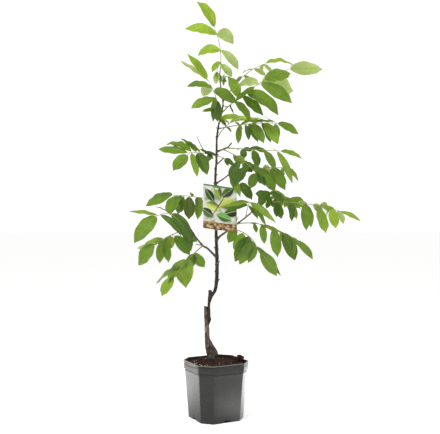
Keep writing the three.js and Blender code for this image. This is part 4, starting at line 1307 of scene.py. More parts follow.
def fitted_in(leaflet, name, room):
    """The leaflet at the first turn where it touches no other mass, or None."""
    for more in TURNS:
        tried = hung(leaflet, more)
        places = samples_of(tried)
        if room.is_clear(places, name):
            room.take(places, name, CLEAR["leaf"])
            return tried
    return None


# %% Growing the crown
def furnished_room(stalks):
    """A room that the limbs, the card and all the stalks stand in."""
    room = Room()
    for name, rows in {"leader": LIMBS["leader"], **BOUGHS}.items():
        steps = 8 * (len(rows) - 1)
        for s in range(steps + 1):
            at, radius = on_limb(rows, s / steps)
            room.take(at, name, radius + CLEAR["limb"])
    axes = label_axes()
    for i in range(-4, 5):
        for j in range(-5, 6):
            spot = np.array([i / 8 * LABEL_WIDTH, 0, j / 10 * LABEL_HEIGHT])
            room.take(axes @ spot + LABEL_CENTRE, "card", CLEAR["label"])
    for name, own in stalks.items():
        for stalk in own:
            room.take([stalk(s / 50) for s in range(1, 51)], name, CLEAR["rib"])
    return room


def grow_leaf(leaf, stalk, given, name, room):
    """The leaflets of one compound leaf, at their given ends or fitted in."""
    draw = chance(leaf["seed"] + 300)
    grown = leaflets_of(leaf, stalk)
    found = [led(grown[-1], stalk, given[key], draw) for key in given if key[0] == "X"]
    for leaflet in grown:
        if leaflet["key"] in given:
            found.append(led(leaflet, stalk, given[leaflet["key"]], draw))
            room.take(samples_of(found[-1]), name, CLEAR["leaf"])
        else:
            found.append(fitted_in(leaflet, name, room))
    return [leaflet for leaflet in found if leaflet]


def grow_crown():
    """Every mass as a list of (leaf, stalk, fitted leaflets)."""
    stalks = {name: [stalk_of(leaf) for leaf in leaves] for name, leaves in CROWN.items()}
    room = furnished_room(stalks)
    crown = {}
    for name, leaves in CROWN.items():
        crown[name] = []
        for number, (leaf, stalk) in enumerate(zip(leaves, stalks[name])):
            leaf = {**LEAF, **leaf}
            fitted = grow_leaf(leaf, stalk, TIPS.get((name, number), {}), name, room)
            crown[name].append((leaf, stalk, fitted))
    return crown


GROWN = grow_crown()
print("leaflets:", sum(len(fitted) for mass in GROWN.values() for _, _, fitted in mass))

# %% [markdown]
# ## Leaflets
#
# A walnut's leaflet is an ellipse with a smooth edge that narrows to a short point. A strong
# midrib folds it, a dozen pairs of side veins run to the edge, and the blade swells a little
# between them, so it looks quilted. The edge waves. All of that is in the mesh: a grid of rows
# along the leaflet and columns across it, with each effect added to its height. The same vein
# count draws the veins in the material, so that the pale lines lie in the grooves.

# %% The shape of a leaflet
VEINS = 12
VEIN_LEAN, VEIN_BEND = 0.55, 1.3
OFFSET_LEFT = 0.35
BLADE_ROWS, BLADE_COLUMNS = 62, 12
QUILT, EDGE_WAVE = 0.9, 0.018
TWIST = math.radians(50)
THIN = 0.25


def outline(t, fullest, point):
    """Half width at t as a share of the widest. fullest moves the widest place."""
    body = np.sin(math.pi * np.clip(t, 0, 1) ** fullest) ** 0.6
    k = np.clip((t - 0.78) / 0.22, 0, 1)
    return body * (1 - point * k * k * (3 - 2 * k))


def vein_phase(t, across, side):
    """Counts the side veins: a whole number lies on a vein."""
    return VEINS * (t - VEIN_LEAN * across - VEIN_BEND * across ** 2) + OFFSET_LEFT * side


# %% The blade
SICKLE, LOPSIDED = 0.07, 0.05
FLATTEST, FOLD_DRAW = 0.3, 1.6
FEWEST_WAVES, WAVES_DRAW = 1.6, 1.6


def blade(leaflet, draw):
    """The points, faces and flat coordinates of one leaflet."""
    long, wide = leaflet["length"], leaflet["wide"]
    rows = np.linspace(0, 1, BLADE_ROWS)
    rows = 0.6 * rows + 0.4 * (1 - np.cos(math.pi * rows)) / 2
    bare = leaflet.get("bare", BARE)
    t = bare + (1 - bare) * rows
    share = np.linspace(-1, 1, BLADE_COLUMNS + 1)
    share = np.sign(share) * np.abs(share) ** 0.9
    at, upper, across = midrib(leaflet, t)
    sickle = (draw() - 0.5) * SICKLE * long * t ** 2
    twist = ((draw() - 0.5) * TWIST * t)[:, None]
    upper, across = (upper * np.cos(twist) + across * np.sin(twist),
                     across * np.cos(twist) - upper * np.sin(twist))
    fold = FOLD * (FLATTEST + FOLD_DRAW * draw())
    shape = outline(rows, 0.8 + 0.25 * draw(), 0.3 + 0.3 * draw())
    half = np.maximum(long * wide * shape / 2, THIN)
    lean = 1 + LOPSIDED * (draw() - 0.5)
    reach = half[:, None] * share * np.where(share > 0, lean, 2 - lean)
    part = np.abs(reach) / long
    left = (share < 0).astype(float)
    grooves = np.cos(2 * math.pi * vein_phase(t[:, None], part, left))
    calm = np.sin(math.pi * rows)[:, None] ** 0.5 * (1 - share ** 4) * np.minimum(np.abs(share) * 6, 1)
    swell = 1 - 0.4 * abs(share)
    waves = np.zeros_like(reach)
    for hand in (share > 0, share < 0):
        beats, shift = FEWEST_WAVES + WAVES_DRAW * draw(), draw()
        wave = np.sin(2 * math.pi * (beats * rows + shift))[:, None] * share ** 2
        waves += np.where(hand, wave, 0)
    height = (np.abs(reach) * fold * swell - QUILT * grooves * calm
              + EDGE_WAVE * long * waves * np.sin(math.pi * rows)[:, None] ** 0.6)
    points = (at[:, None] + across[:, None] * (reach + sickle[:, None])[..., None]
              + upper[:, None] * height[..., None])
    count = BLADE_COLUMNS + 1
    faces = [[r * count + c, r * count + c + 1, (r + 1) * count + c + 1, (r + 1) * count + c]
             for r in range(BLADE_ROWS - 1) for c in range(BLADE_COLUMNS)]
    flat = np.stack([0.5 + reach / long, np.broadcast_to(t[:, None], reach.shape)], axis=2)
    return points.reshape(-1, 3), faces, flat.reshape(-1, 2)


# %% Group: leaf veins, from the leaflet's own flat coordinates
def make_veins():
    tree, given, out = group("leaf_veins", {"Width": 0.08}, ["Vein", "Midrib", "Height"])
    flat = put(tree, "UVMap", uv_map="own").outputs[0]
    along = part_of(tree, flat, "Y")
    aside = maths(tree, "SUBTRACT", part_of(tree, flat, "X"), 0.5)
    across = maths(tree, "ABSOLUTE", aside)
    bent = maths(tree, "ADD", maths(tree, "MULTIPLY", across, VEIN_LEAN),
                 maths(tree, "MULTIPLY", maths(tree, "MULTIPLY", across, across), VEIN_BEND))
    left = maths(tree, "LESS_THAN", aside, 0.0)
    counted = maths(tree, "MULTIPLY", maths(tree, "SUBTRACT", along, bent), VEINS)
    phase = maths(tree, "ADD", counted, maths(tree, "MULTIPLY", left, OFFSET_LEFT))
    off = maths(tree, "ABSOLUTE", maths(tree, "SUBTRACT", maths(tree, "FRACT", phase), 0.5))
    near_vein = maths(tree, "SUBTRACT", 0.5, off)
    vein = step(tree, near_vein, 0.0, given["Width"], 1.0, 0.0)
    rib_width = maths(tree, "SUBTRACT", 0.011, maths(tree, "MULTIPLY", along, 0.008))
    rib = step(tree, maths(tree, "DIVIDE", across, rib_width), 0.6, 1.2, 1.0, 0.0)
    net = put(tree, "TexVoronoi", {"Vector": flat, "Scale": 60.0},
              feature="DISTANCE_TO_EDGE").outputs["Distance"]
    fine = step(tree, net, 0.0, 0.12, 0.0, 1.0)
    height = maths(tree, "SUBTRACT", maths(tree, "MULTIPLY", fine, 0.35), vein)
    give(tree, out, Vein=vein, Midrib=rib, Height=height)
    return tree


VEIN_GROUP = make_veins()

# %% [markdown]
# ## Leaf finishes
#
# A leaf is thin enough for light to come through, and that is what makes foliage glow. Its
# shader is a mix of a soft gloss and a translucent shader, by one plain number. The young
# leaves at the top are yellow-green, the old ones inside the crown deep green, and a few tips
# are turning. Such places are dealt out leaf by leaf, as plain base colours. The underside is
# paler and duller than the upper side, which the shader tells from the way that a face looks.

# %% Leaf tints
TINTS = {  # upper side, underside, and the light that comes through
    "young": (rgb(132, 164, 42), rgb(156, 182, 88), rgb(172, 198, 50)),
    # pale: leaves painted pale, as a painted sheen and as light shining through them from behind.
    "pale": (rgb(158, 180, 106), rgb(180, 199, 138), rgb(200, 216, 122)),
    "fresh": (rgb(113, 147, 45), rgb(144, 169, 88), rgb(158, 187, 48)),
    "mid": (rgb(89, 123, 35), rgb(126, 150, 76), rgb(136, 168, 38)),
    "deep": (rgb(66, 98, 27), rgb(104, 130, 66), rgb(106, 142, 30)),
    "turning": (rgb(124, 138, 56), rgb(146, 156, 92), rgb(164, 174, 66)),
    "shade": (rgb(70, 86, 36), rgb(98, 112, 58), rgb(98, 116, 34)),
}
LIGHT_THROUGH = 0.34
SHADED, LIT, ON_VEIN = 0.66, 1.3, 1.5


def leaf_finish(name, upper, under, through):
    made, tree, shader = material("leaf_" + name)
    veins = use(tree, VEIN_GROUP, Width=0.11)
    mottle = use(tree, MOTTLE, Scale=60.0)
    broad = use(tree, MOTTLE, Scale=16.0)
    shade = tuple(SHADED * c for c in upper[:3]) + (1.0,)
    bright = tuple(LIT * c for c in upper[:3]) + (1.0,)
    light = tuple(min(1.0, ON_VEIN * c + 0.03) for c in upper[:3]) + (1.0,)
    top = blend(tree, broad["Tone"], bright, shade)
    top = cover(tree, top, mottle["Tone"], 0.6, shade)
    top = cover(tree, top, veins["Vein"], 0.34, light)
    top = cover(tree, top, veins["Midrib"], 0.45, rgb(170, 190, 104))
    below = cover(tree, under, veins["Vein"], 0.4, rgb(196, 208, 150))
    behind = put(tree, "NewGeometry").outputs["Backfacing"]
    colour = blend(tree, behind, top, below)
    roughness = step(tree, mottle["Grain"], 0.3, 0.7, 0.32, 0.46)
    finish_shader(tree, shader, colour, roughness, veins["Height"], 0.45, 0.0008, 0.42)
    glow = put(tree, "BsdfTranslucent", {
        "Color": cover(tree, through, veins["Vein"], 0.3, upper),
    })
    both = put(tree, "MixShader", {
        "Fac": LIGHT_THROUGH, 1: shader.outputs[0], 2: glow.outputs[0],
    })
    tree.links.new(both.outputs[0], tree.nodes["Material Output"].inputs["Surface"])
    return made


LEAF_FINISH = {name: leaf_finish(name, *tints) for name, tints in TINTS.items()}
TINT_NAMES = list(TINTS)


def tint_of(leaf, leaflet, draw):
    """The tint's number: by the leaflet's place along its stalk, with a few that differ."""
    if leaflet.get("tint"):
        return TINT_NAMES.index(leaflet["tint"])
    if leaflet["side"] == 1 and "right" in leaf:
        return TINT_NAMES.index(leaf["right"])
    tints = leaf["tint"]
    place = leaflet["share"] * (len(tints) - 1) + (draw() - 0.5) * 0.7
    return TINT_NAMES.index(tints[int(min(max(round(place), 0), len(tints) - 1))])


# %% Blades, one piece for each mass
total = 0
for name, leaves in GROWN.items():
    heap = Heap()
    for leaf, stalk, fitted in leaves:
        draw = chance(leaf["seed"] + 700)
        for leaflet in fitted:
            tint = tint_of(leaf, leaflet, draw)
            heap.add(*blade(leaflet, draw), finish=tint)
    piece = heap.piece("leaves_" + name, list(LEAF_FINISH.values()), "foliage")
    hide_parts("foliage_" + name)
    total += triangles(piece)
print("blades:", len(GROWN), "pieces,", total, "triangles")

# %% [markdown]
# ## Stalks and midribs
#
# The stalk of a compound leaf is swollen where it leaves the shoot, thin and tough along its
# length, and it tapers into the midrib of the end leaflet. Each side leaflet has a short stalk
# of its own that runs on as its midrib, raised on the underside. They are plain tubes.

# %% Stalks and midribs
STALK_PLACES = [0, 0.02, 0.05, 0.1, 0.2, 0.35, 0.5, 0.65, 0.8, 0.9, 1]
STALK_RADII = [3.0, 2.6, 2.0, 1.7, 1.5, 1.4, 1.25, 1.15, 1.0, 0.9, 0.8]
RIB_PLACES = np.array([0, 0.03, 0.07, 0.2, 0.4, 0.6, 0.8, 0.96])
RIB_RADII = [0.85, 0.7, 0.75, 0.68, 0.55, 0.42, 0.28, 0.14]
RIB_SINK = 0.3
STALK = two_tone("leaf_stalk", 110.0, (112, 128, 58), (140, 140, 72), rough=(0.42, 0.56),
                 bump=0.25, deep=0.0003, effect=BARK, relief="Height",
                 sizes=dict(Cracks=500.0, Pores=420.0, Stretch=0.3),
                 marks=[("Pore", 0.3, (176, 160, 112))])


def midrib_tube(leaflet):
    """The raised midrib, sunk a little so that only its back stands out of the blade."""
    at, upper, _ = midrib(leaflet, RIB_PLACES)
    sink = np.minimum(RIB_PLACES * 12, 1)[:, None] * RIB_SINK
    return tube(at - upper * sink, RIB_RADII, 6)


stalks = Heap()
for leaves in GROWN.values():
    for leaf, stalk, fitted in leaves:
        stalks.add(*tube([stalk(t) for t in STALK_PLACES], STALK_RADII, 8))
        for leaflet in fitted:
            stalks.add(*midrib_tube(leaflet))
stalk_piece = stalks.piece("leaf_stalks", [STALK], "foliage")
print("leaf_stalks", triangles(stalk_piece), "triangles")

# %% [markdown]
# ## The trunk's bark
#
# Tubes that only cross each other would show hard seams where the limbs have grown together. A
# voxel remesh turns the crossing tubes into one skin, and a little smoothing rounds the joins,
# as the tree does with new wood. Then each point moves along its normal: long cracks on the old
# rootstock, wrinkles on the scion, and a ring at each place where a leaf or a bough stands.

# %% Where something stands on the leader
NODE_HEIGHTS = [432, 458, 486, 534, 628, 652, 724, 770, 790, 818, 866, 905, 955, 990, 1030, 1070]


def nodes_on_leader():
    """Heights on the leader where a bough, a leaf or an old scar makes it swell."""
    found = list(NODE_HEIGHTS)
    found += [rows[0][2] for rows in BOUGHS.values()]
    found += [leaf["start"][2] for leaves in CROWN.values() for leaf in leaves
              if "start" in leaf and abs(leaf["start"][1] - 12) < 4 and leaf["start"][0] < 30]
    return sorted(found)


# %% Skin of the trunk
VOXEL = 0.0009
YOUNG_WOOD = ("scion", "leader")


def limb_tube(rows, sides, steps_per_row):
    steps = steps_per_row * (len(rows) - 1)
    found = [on_limb(rows, s / steps) for s in range(steps + 1)]
    return tube([at for at, _ in found], [radius for _, radius in found], sides)


def grown_together(name, tubes):
    """One smooth skin over crossing tubes."""
    heap = Heap()
    for points, faces in tubes:
        heap.add(points, faces)
    mesh = bpy.data.meshes.new(name)
    mesh.from_pydata(np.vstack(heap.points) * MM, [], heap.faces)
    piece = bpy.data.objects.new(name, mesh)
    add_to_scene(piece)
    voxels = piece.modifiers.new("skin", "REMESH")
    voxels.mode = "VOXEL"
    voxels.voxel_size = VOXEL
    smooth = piece.modifiers.new("smooth", "SMOOTH")
    smooth.iterations = 4
    bake_modifiers(piece)
    bpy.context.scene.collection.objects.unlink(piece)
    return piece


# %% Reading and writing a mesh's points
def read_points(rows, what):
    """Three numbers from each row: a point's place, or its normal."""
    found = np.zeros(len(rows) * 3)
    rows.foreach_get(what, found)
    return found.reshape(-1, 3)


def write_mask(mesh, name, values):
    """A number at each point, which the material reads by its name."""
    layer = mesh.attributes.new(name, "FLOAT", "POINT")
    layer.data.foreach_set("value", np.asarray(values, np.float32))


def soften(mesh, values, rounds):
    """Averages a value over each point's neighbours a few times."""
    ends = np.zeros(len(mesh.edges) * 2, int)
    mesh.edges.foreach_get("vertices", ends)
    a, b = ends.reshape(-1, 2).T
    near = np.bincount(a, minlength=len(values)) + np.bincount(b, minlength=len(values))
    for _ in range(rounds):
        total = (np.bincount(a, values[b], len(values)) + np.bincount(b, values[a], len(values)))
        values = 0.5 * values + 0.5 * total / np.maximum(near, 1)
    return values


# %% The trunk in one skin
trunk = grown_together("trunk_bark", [limb_tube(rows, 24, 4) for rows in LIMBS.values()])
print("trunk_bark", triangles(trunk), "triangles")


# %% Relief of the trunk
YOUNG_FROM, YOUNG_RISE = 430, 620


def spread_over(mesh):
    """The places of the points in millimetres, and how much each is rootstock."""
    places = read_points(mesh.vertices, "co") / MM
    line, kind = [], []
    for name, rows in LIMBS.items():
        steps = 6 * (len(rows) - 1)
        for s in range(steps + 1):
            line.append(on_limb(rows, s / steps)[0])
            kind.append(float(name not in YOUNG_WOOD))
    line, kind = np.array(line), np.array(kind)
    nearest = np.concatenate([
        np.argmin(((part[:, None] - line[None]) ** 2).sum(2), axis=1)
        for part in np.array_split(places, 60)])
    return places, soften(mesh, kind[nearest], 12)


def relief_of(place, old, high):
    """How far the bark stands out at a place, in millimetres."""
    x, y, z = place
    fissure = noise.fractal(Vector((x / 2.6, y / 2.6, z / 16)), 0.7, 2.1, 4)
    gnarl = noise.noise(Vector((x / 9, y / 9, z / 13)))
    wrinkle = noise.noise(Vector((x / 5, y / 5, z / 2.2)))
    young = min(max((z - 400) / 500, 0), 1)
    rough = old * (0.8 * fissure + 1.2 * gnarl) + (1 - old) * (1 - 0.8 * young) * (
        0.3 * fissure + 0.14 * wrinkle + 0.4 * gnarl * (z < 410))
    node = sum(math.exp(-((z - h) / 3.0) ** 2) for h in high) if z > 420 else 0
    return rough + node * (0.9 - 0.4 * young)


KNOTS = [  # place, radius, and how far it stands out
    ([-36, 5, 271], 5.0, 2.2), ([-35.5, 6, 279], 3.0, -1.4), ([-36, 12, 350], 4.0, 1.0),
    ([-16, 8, 309], 6.0, 1.6), ([-24, 4, 233], 6.5, 1.5), ([3, 6, 200], 8.0, 2.0),
    ([-10, 0, 186], 7.0, 1.8), ([-30, 6, 205], 6.0, 1.6), ([-14, 10, 398], 3.5, 1.0),
    ([-17, 11, 334], 11.0, 1.4),
]
places, old = spread_over(trunk.data)
normals = read_points(trunk.data.vertex_normals, "vector")
heights = nodes_on_leader()
out = np.array([relief_of(p, o, heights) for p, o in zip(places, old)])
for at, radius, proud in KNOTS:
    out += proud * np.exp(-(np.linalg.norm(places - np.array(at), axis=1) / radius) ** 2)
trunk.data.vertices.foreach_set("co", ((places + normals * out[:, None]) * MM).ravel())
write_mask(trunk.data, "rootstock", old)
write_mask(trunk.data, "young", np.clip((places[:, 2] - YOUNG_FROM) / YOUNG_RISE, 0, 1))
write_mask(trunk.data, "proud", np.clip(out / 2 + 0.5, 0, 1))
print("relief from", round(out.min(), 2), "to", round(out.max(), 2), "mm")


# %% Bark finish
GRAFT_FROM, GRAFT_TO = 0.325, 0.345
# Heights in metres over which the bark turns darker towards the soil.
FOOT_DARK_TOP, FOOT_DARK_BASE = 0.235, 0.18


def bark_finish():
    """Grey cracked rootstock, a dark scion, and a leader that greens only at its tip."""
    made, tree, shader = material("trunk_bark")
    mottle = use(tree, MOTTLE, Scale=75.0)
    bark = use(tree, BARK, Cracks=230.0, Pores=170.0, Stretch=0.2)
    mask = {name: put(tree, "Attribute", attribute_name=name).outputs["Fac"]
            for name in ("rootstock", "young", "proud")}
    high = part_of(tree, place_of(tree), "Z")
    scion = blend(tree, mottle["Tone"], rgb(34, 24, 21), rgb(66, 50, 43))
    stock = blend(tree, mottle["Tone"], rgb(74, 61, 49), rgb(128, 115, 98))
    leader = blend(tree, mottle["Tone"], rgb(40, 30, 24), rgb(74, 59, 45))
    shoot = blend(tree, mottle["Tone"], rgb(96, 90, 58), rgb(124, 122, 78))
    wood = blend(tree, step(tree, mask["young"], 0.0, 0.1), scion, leader)
    wood = blend(tree, step(tree, mask["young"], 0.72, 1.0), wood, shoot)
    flecks = step(tree, cloud(tree, stretched(tree, place_of(tree), (1, 1, 0.4)), 120.0), 0.56, 0.64)
    stock = cover(tree, stock, flecks, 0.7, rgb(170, 160, 146))
    stained = step(tree, high, GRAFT_FROM, GRAFT_TO, 0.0, 0.6)
    stock = blend(tree, stained, stock, rgb(58, 46, 40))
    wood = blend(tree, step(tree, mask["rootstock"], 0.25, 0.75), wood, stock)
    # The bark turns darker towards the soil.
    foot_dark = step(tree, high, FOOT_DARK_BASE, FOOT_DARK_TOP, 0.75, 0.0)
    wood = blend(tree, foot_dark, wood, rgb(46, 37, 32))
    hollow = step(tree, mask["proud"], 0.3, 0.55, 0.65, 0.0)
    wood = blend(tree, hollow, wood, rgb(34, 25, 20))
    wood = cover(tree, wood, bark["Crack"], 0.55, rgb(32, 24, 20))
    wood = cover(tree, wood, bark["Pore"], 0.3, rgb(150, 134, 112))
    roughness = step(tree, mottle["Grain"], 0.3, 0.7, 0.62, 0.82)
    finish_shader(tree, shader, wood, roughness, bark["Height"], 0.6, 0.0008, 0.35)
    return made


trunk.data.materials.clear()
trunk.data.materials.append(bark_finish())
trunk.data.polygons.foreach_set("use_smooth", [True] * len(trunk.data.polygons))
settle(trunk)
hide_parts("trunk")
print("bark on", len(places), "points")

# %% [markdown]
# ## Boughs, twigs and buds
#
# The boughs are last year's shoots: smooth, olive-brown, with pale pores and a swelling at each
# bud. A fine tube with its radius modulated along its length is enough for them, with no
# remesh. Bare twigs and old leaf stalks stand out between the leaves, and each foot has a bud.

# %% The tube of a bough
BOUGH_SIDES, BOUGH_STEPS = 14, 14
BUD_EVERY = 21.0
SHOOT_BARK = two_tone("shoot_bark", 90.0, (58, 47, 35), (92, 82, 56), rough=(0.5, 0.68),
                      bump=0.45, deep=0.0005, effect=BARK, relief="Height",
                      sizes=dict(Cracks=320.0, Pores=230.0, Stretch=0.35),
                      marks=[("Crack", 0.3, (40, 31, 24)), ("Pore", 0.5, (172, 158, 124))])


def bough_tube(rows):
    """The tube, its places, how far each lies along it, and its radii."""
    steps = BOUGH_STEPS * (len(rows) - 1)
    found = [on_limb(rows, s / steps) for s in range(steps + 1)]
    at = np.array([place for place, _ in found])
    far = np.append(0, np.cumsum(np.linalg.norm(np.diff(at, axis=0), axis=1)))
    swelling = 1 + 0.2 * np.exp(-((far % BUD_EVERY - BUD_EVERY / 2) / 1.8) ** 2)
    collar = 1 + 0.6 * np.exp(-far / 5.0)
    radii = np.array([radius for _, radius in found]) * swelling * collar
    return tube(at, radii, BOUGH_SIDES), at, far, radii


# %% A bud
BUD_SHAPE = [(0, 0.5), (0.2, 0.86), (0.45, 1.0), (0.7, 0.78), (0.9, 0.4), (1.0, 0.08)]
buds = Heap()


def add_bud(at, way, size):
    """A fat pointed bud that leans away from its shoot."""
    way = unit(np.asarray(way, float))
    buds.add(*tube([at + way * size * 1.9 * t for t, _ in BUD_SHAPE],
                   [size * 0.5 * r for _, r in BUD_SHAPE], 8))


# %% Boughs
for name, rows in BOUGHS.items():
    body, at, far, radii = bough_tube(rows)
    heap = Heap()
    heap.add(*body)
    joint, along = limb_tip(name)
    heap.add(*tube([joint + along * reach for reach in (-2, 3, 7)],
                   [rows[-1][3] * k for k in (0.9, 1.25, 1.1)], BOUGH_SIDES))
    piece = heap.piece(name + "_bark", [SHOOT_BARK], "shoot_bark")
    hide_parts(name)
    for k, reach in enumerate(np.arange(BUD_EVERY / 2, far[-1], BUD_EVERY)):
        i = int(np.searchsorted(far, reach))
        way = unit(at[min(i + 1, len(at) - 1)] - at[i - 1])
        aside = unit(np.cross(way, UP)) * (1 if k % 2 else -1) + UP * 0.4
        add_bud(at[i] + unit(aside) * radii[i] * 0.7, aside + way * 0.9, 2.4)
print("boughs:", ", ".join(BOUGHS))

# %% Bare twigs
BARE_TWIGS = [  # start, end, radius at the start
    ([1.2, 13, 806], [20, 6, 822], 2.6), ([-32, 30, 842], [-60, 26, 893], 1.3),
    ([24, 8, 948], [30, 0, 930], 1.4), ([3.2, 12, 486], [10, 6, 494], 1.6),
    ([60, 14, 611], [70, 2, 636], 1.4), ([-44, -9, 549], [-60, -26, 552], 1.4),
    ([46, 4, 997], [55, -2, 970], 1.3),
]
TWIG_TAPER = np.array([1.5, 1.1, 1, 0.95, 0.9, 0.9, 0.7])
TWIG_SAG = 0.08

twigs = Heap()
for start, end, radius in BARE_TWIGS:
    start, end = np.array(start, float), np.array(end, float)
    bend = (start + end) / 2 - UP * TWIG_SAG * np.linalg.norm(end - start)
    line = [arc(start, bend, end)(t) for t in np.linspace(0, 1, len(TWIG_TAPER))]
    twigs.add(*tube(line, TWIG_TAPER * radius, 8))
    add_bud(line[-1], end - start, radius * 2.0)
twig_piece = twigs.piece("bare_twigs", [SHOOT_BARK], "shoot_bark")
print("twigs", triangles(twig_piece), "triangles")

# %% Buds on the leader and over the leaves' feet
LEADER_LINE = [on_limb(LIMBS["leader"], s / 400) for s in range(401)]
TURN_PER_BUD = math.radians(137.5)
for k, high in enumerate(nodes_on_leader()):
    at, radius = min(LEADER_LINE, key=lambda found: abs(found[0][2] - high))
    aside = np.array([math.cos(k * TURN_PER_BUD), math.sin(k * TURN_PER_BUD), 0.0])
    add_bud(at + aside * radius * 0.8 + UP * 1.5, aside + UP * 1.1, 2.6 + 0.3 * radius)
for leaves in GROWN.values():
    for leaf, stalk, _ in leaves:
        foot, way = stalk(0.0), tangent(stalk, 0.0)
        add_bud(foot + way * 3 + UP * 2.2, way * 0.6 + UP, 3.0)

BUD = two_tone("bud", 260.0, (74, 66, 44), (112, 104, 66), rough=(0.5, 0.7), bump=0.3,
               deep=0.0004)
bud_piece = buds.piece("buds", [BUD], "shoot_bark")
print("buds", triangles(bud_piece), "triangles")

# %% [markdown]
# ## The plant label
#
# The label is a thin printed card, glossy on its face and plain white at the back, with round
# corners and a slight bow from hanging outdoors. The print is a generic garden design with no
# lettering: a leafy twig that slants over a pale ground, with soft shade behind it and a bed of
# pebbles at the foot. Each shape is drawn by a few nodes from the card's own flat coordinates,
# so nothing is loaded and the print stays sharp.

# %% Card
CARD_CORNER, CARD_BOW = 4.0, 2.0
CARD_STEPS = (26, 32)
CARD_HALF = np.array([LABEL_WIDTH / 2, LABEL_HEIGHT / 2])


def card_side(side):
    """A bowed grid with round corners, in the card's own frame."""
    across, up = CARD_STEPS
    grid = []
    for j in range(up + 1):
        for i in range(across + 1):
            flat = CARD_HALF * [2 * i / across - 1, 2 * j / up - 1]
            over = np.maximum(np.abs(flat) - (CARD_HALF - CARD_CORNER), 0)
            far = np.linalg.norm(over)
            if far > CARD_CORNER:
                flat = np.sign(flat) * (CARD_HALF - CARD_CORNER + over * CARD_CORNER / far)
            bow = CARD_BOW * ((flat[0] / CARD_HALF[0]) ** 2 - 0.35)
            grid.append([flat[0], side * LABEL_THICKNESS / 2 - bow, flat[1]])
    return np.array(grid)


def card_mesh():
    """A closed card: the face, the back, and the rim round both."""
    across, up = CARD_STEPS
    points = np.vstack([card_side(-1), card_side(1)])
    count = len(points) // 2
    width = across + 1
    faces, finish = [], []
    for j in range(up):
        for i in range(across):
            a = j * width + i
            faces.append([a, a + 1, a + width + 1, a + width])
            faces.append([count + a, count + a + width, count + a + width + 1, count + a + 1])
            finish += [0, 1]
    rim = [*range(across), *[j * width + across for j in range(up)],
           *[up * width + i for i in range(across, 0, -1)], *[j * width for j in range(up, 0, -1)]]
    for k, a in enumerate(rim):
        b = rim[(k + 1) % len(rim)]
        faces.append([b, a, count + a, count + b])
        finish.append(1)
    uvs = points[:, [0, 2]] / (2 * CARD_HALF) + 0.5
    return points @ label_axes().T + LABEL_CENTRE, faces, uvs, finish


# %% A printed leaf
def leaf_mark(tree, flat, centre, size, turn):
    """A mask that is 1 inside a lens with two points, and the place across it from -1 to 1."""
    moved = put(tree, "Mapping", {
        "Vector": flat, "Location": (*centre, 0), "Rotation": (0, 0, math.radians(turn)),
        "Scale": (*size, 1),
    }, vector_type="TEXTURE").outputs[0]
    along, over = part_of(tree, moved, "X"), part_of(tree, moved, "Y")
    away = maths(tree, "ADD", maths(tree, "MULTIPLY", along, along), maths(tree, "ABSOLUTE", over))
    return step(tree, away, 0.9, 1.04, 1.0, 0.0), over


# %% Print
TWIG = [  # centre, half length and half width, turn, and colour of each printed leaf
    ((0.14, 0.36), (0.20, 0.12), 150, (52, 84, 30)),
    ((0.86, 0.44), (0.24, 0.14), 20, (40, 66, 26)),
    ((0.62, 0.30), (0.24, 0.12), -14, (96, 150, 70)),
    ((0.30, 0.52), (0.24, 0.13), 165, (176, 190, 84)),
    ((0.20, 0.76), (0.22, 0.12), 128, (44, 70, 30)),
    ((0.72, 0.62), (0.27, 0.15), 24, (166, 180, 72)),
    ((0.44, 0.86), (0.21, 0.12), 112, (120, 146, 58)),
    ((0.74, 0.88), (0.25, 0.12), 40, (58, 84, 34)),
]
PRINT_TALL = LABEL_HEIGHT / LABEL_WIDTH


def printed_twig(tree, colour, square):
    """The twig's leaves, each over its own soft shade, and the stem over them all."""
    for (x, y), size, turn, paint in TWIG:
        shadow, _ = leaf_mark(tree, square, (x + 0.02, y * PRINT_TALL - 0.03), size, turn)
        inside, over = leaf_mark(tree, square, (x, y * PRINT_TALL), size, turn)
        dark = rgb(*(0.55 * c for c in paint))
        light = rgb(*(min(255, 1.12 * c + 12) for c in paint))
        body = blend(tree, step(tree, over, -0.9, 0.7), dark, light)
        rib = step(tree, maths(tree, "ABSOLUTE", over), 0.03, 0.1, 0.6, 0.0)
        colour = cover(tree, colour, shadow, 0.45, rgb(70, 78, 44))
        colour = blend(tree, inside, colour, blend(tree, rib, body, rgb(214, 220, 160)))
    stem, _ = leaf_mark(tree, square, (0.5, 0.74), (0.62, 0.014), 58)
    return blend(tree, stem, colour, rgb(92, 66, 40))


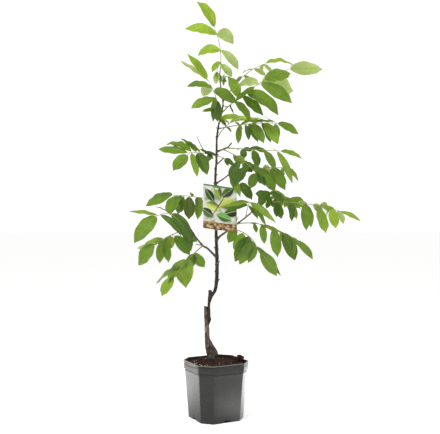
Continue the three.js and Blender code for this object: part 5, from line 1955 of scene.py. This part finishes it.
def printed_pebbles(tree, square):
    """Round stones with dark gaps between them."""
    pebbles = put(tree, "TexVoronoi", {"Vector": square, "Scale": 13.0}).outputs
    stone = blend(tree, part_of(tree, pebbles["Color"], "X"), rgb(150, 96, 66), rgb(214, 186, 136))
    gap = step(tree, pebbles["Distance"], 0.3, 0.75, 0.0, 0.85)
    return blend(tree, gap, stone, rgb(66, 40, 26))


def print_finish():
    made, tree, shader = material("label_print")
    flat = put(tree, "UVMap", uv_map="own").outputs[0]
    square = stretched(tree, flat, (1, PRINT_TALL, 1))
    high = part_of(tree, flat, "Y")
    mottle = use(tree, MOTTLE, Scale=55.0)
    colour = blend(tree, mottle["Tone"], rgb(232, 230, 222), rgb(206, 206, 192))
    haze = step(tree, cloud(tree, square, 3.4), 0.48, 0.62)
    colour = cover(tree, colour, haze, 0.8, rgb(118, 150, 84))
    colour = printed_twig(tree, colour, square)
    colour = blend(tree, step(tree, high, 0.955, 0.965), colour, rgb(94, 142, 66))
    ground = step(tree, high, 0.16, 0.17, 1.0, 0.0)
    colour = blend(tree, ground, colour, printed_pebbles(tree, square))
    roughness = step(tree, mottle["Grain"], 0.3, 0.7, 0.28, 0.36)
    finish_shader(tree, shader, colour, roughness, mottle["Grain"], 0.05, 0.0002)
    return made


# %% The label, printed on its face alone
CARD = two_tone("label_card", 60.0, (232, 230, 222), (220, 217, 206), rough=(0.42, 0.52),
                bump=0.08, deep=0.0002, effect=WEAR, sizes=dict(Scratches=200.0, Dust=0.25),
                marks=[("Dust", 0.4, (188, 180, 160))])
label = Heap()
label.add(*card_mesh())
label_piece = label.piece("label_card", [print_finish(), CARD], "label_card")
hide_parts("label")
print("label_card", triangles(label_piece), "triangles")

# %% [markdown]
# ## The label's strap
#
# The strap is a ribbon of milky polythene, looped round the leader and through the card. Its
# solid already has the right shape, so it stays and only gets its finish.

# %% Strap
STRAP = two_tone("strap_plastic", 140.0, (226, 227, 220), (206, 207, 198), rough=(0.3, 0.42),
                 bump=0.15, deep=0.0002, effect=WEAR, sizes=dict(Scratches=260.0, Dust=0.3),
                 marks=[("Dust", 0.5, (170, 164, 146))], relief="Scratch")
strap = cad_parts["label_strap"]
strap.data.materials.clear()
strap.data.materials.append(STRAP)
print("strap", triangles(strap), "triangles")
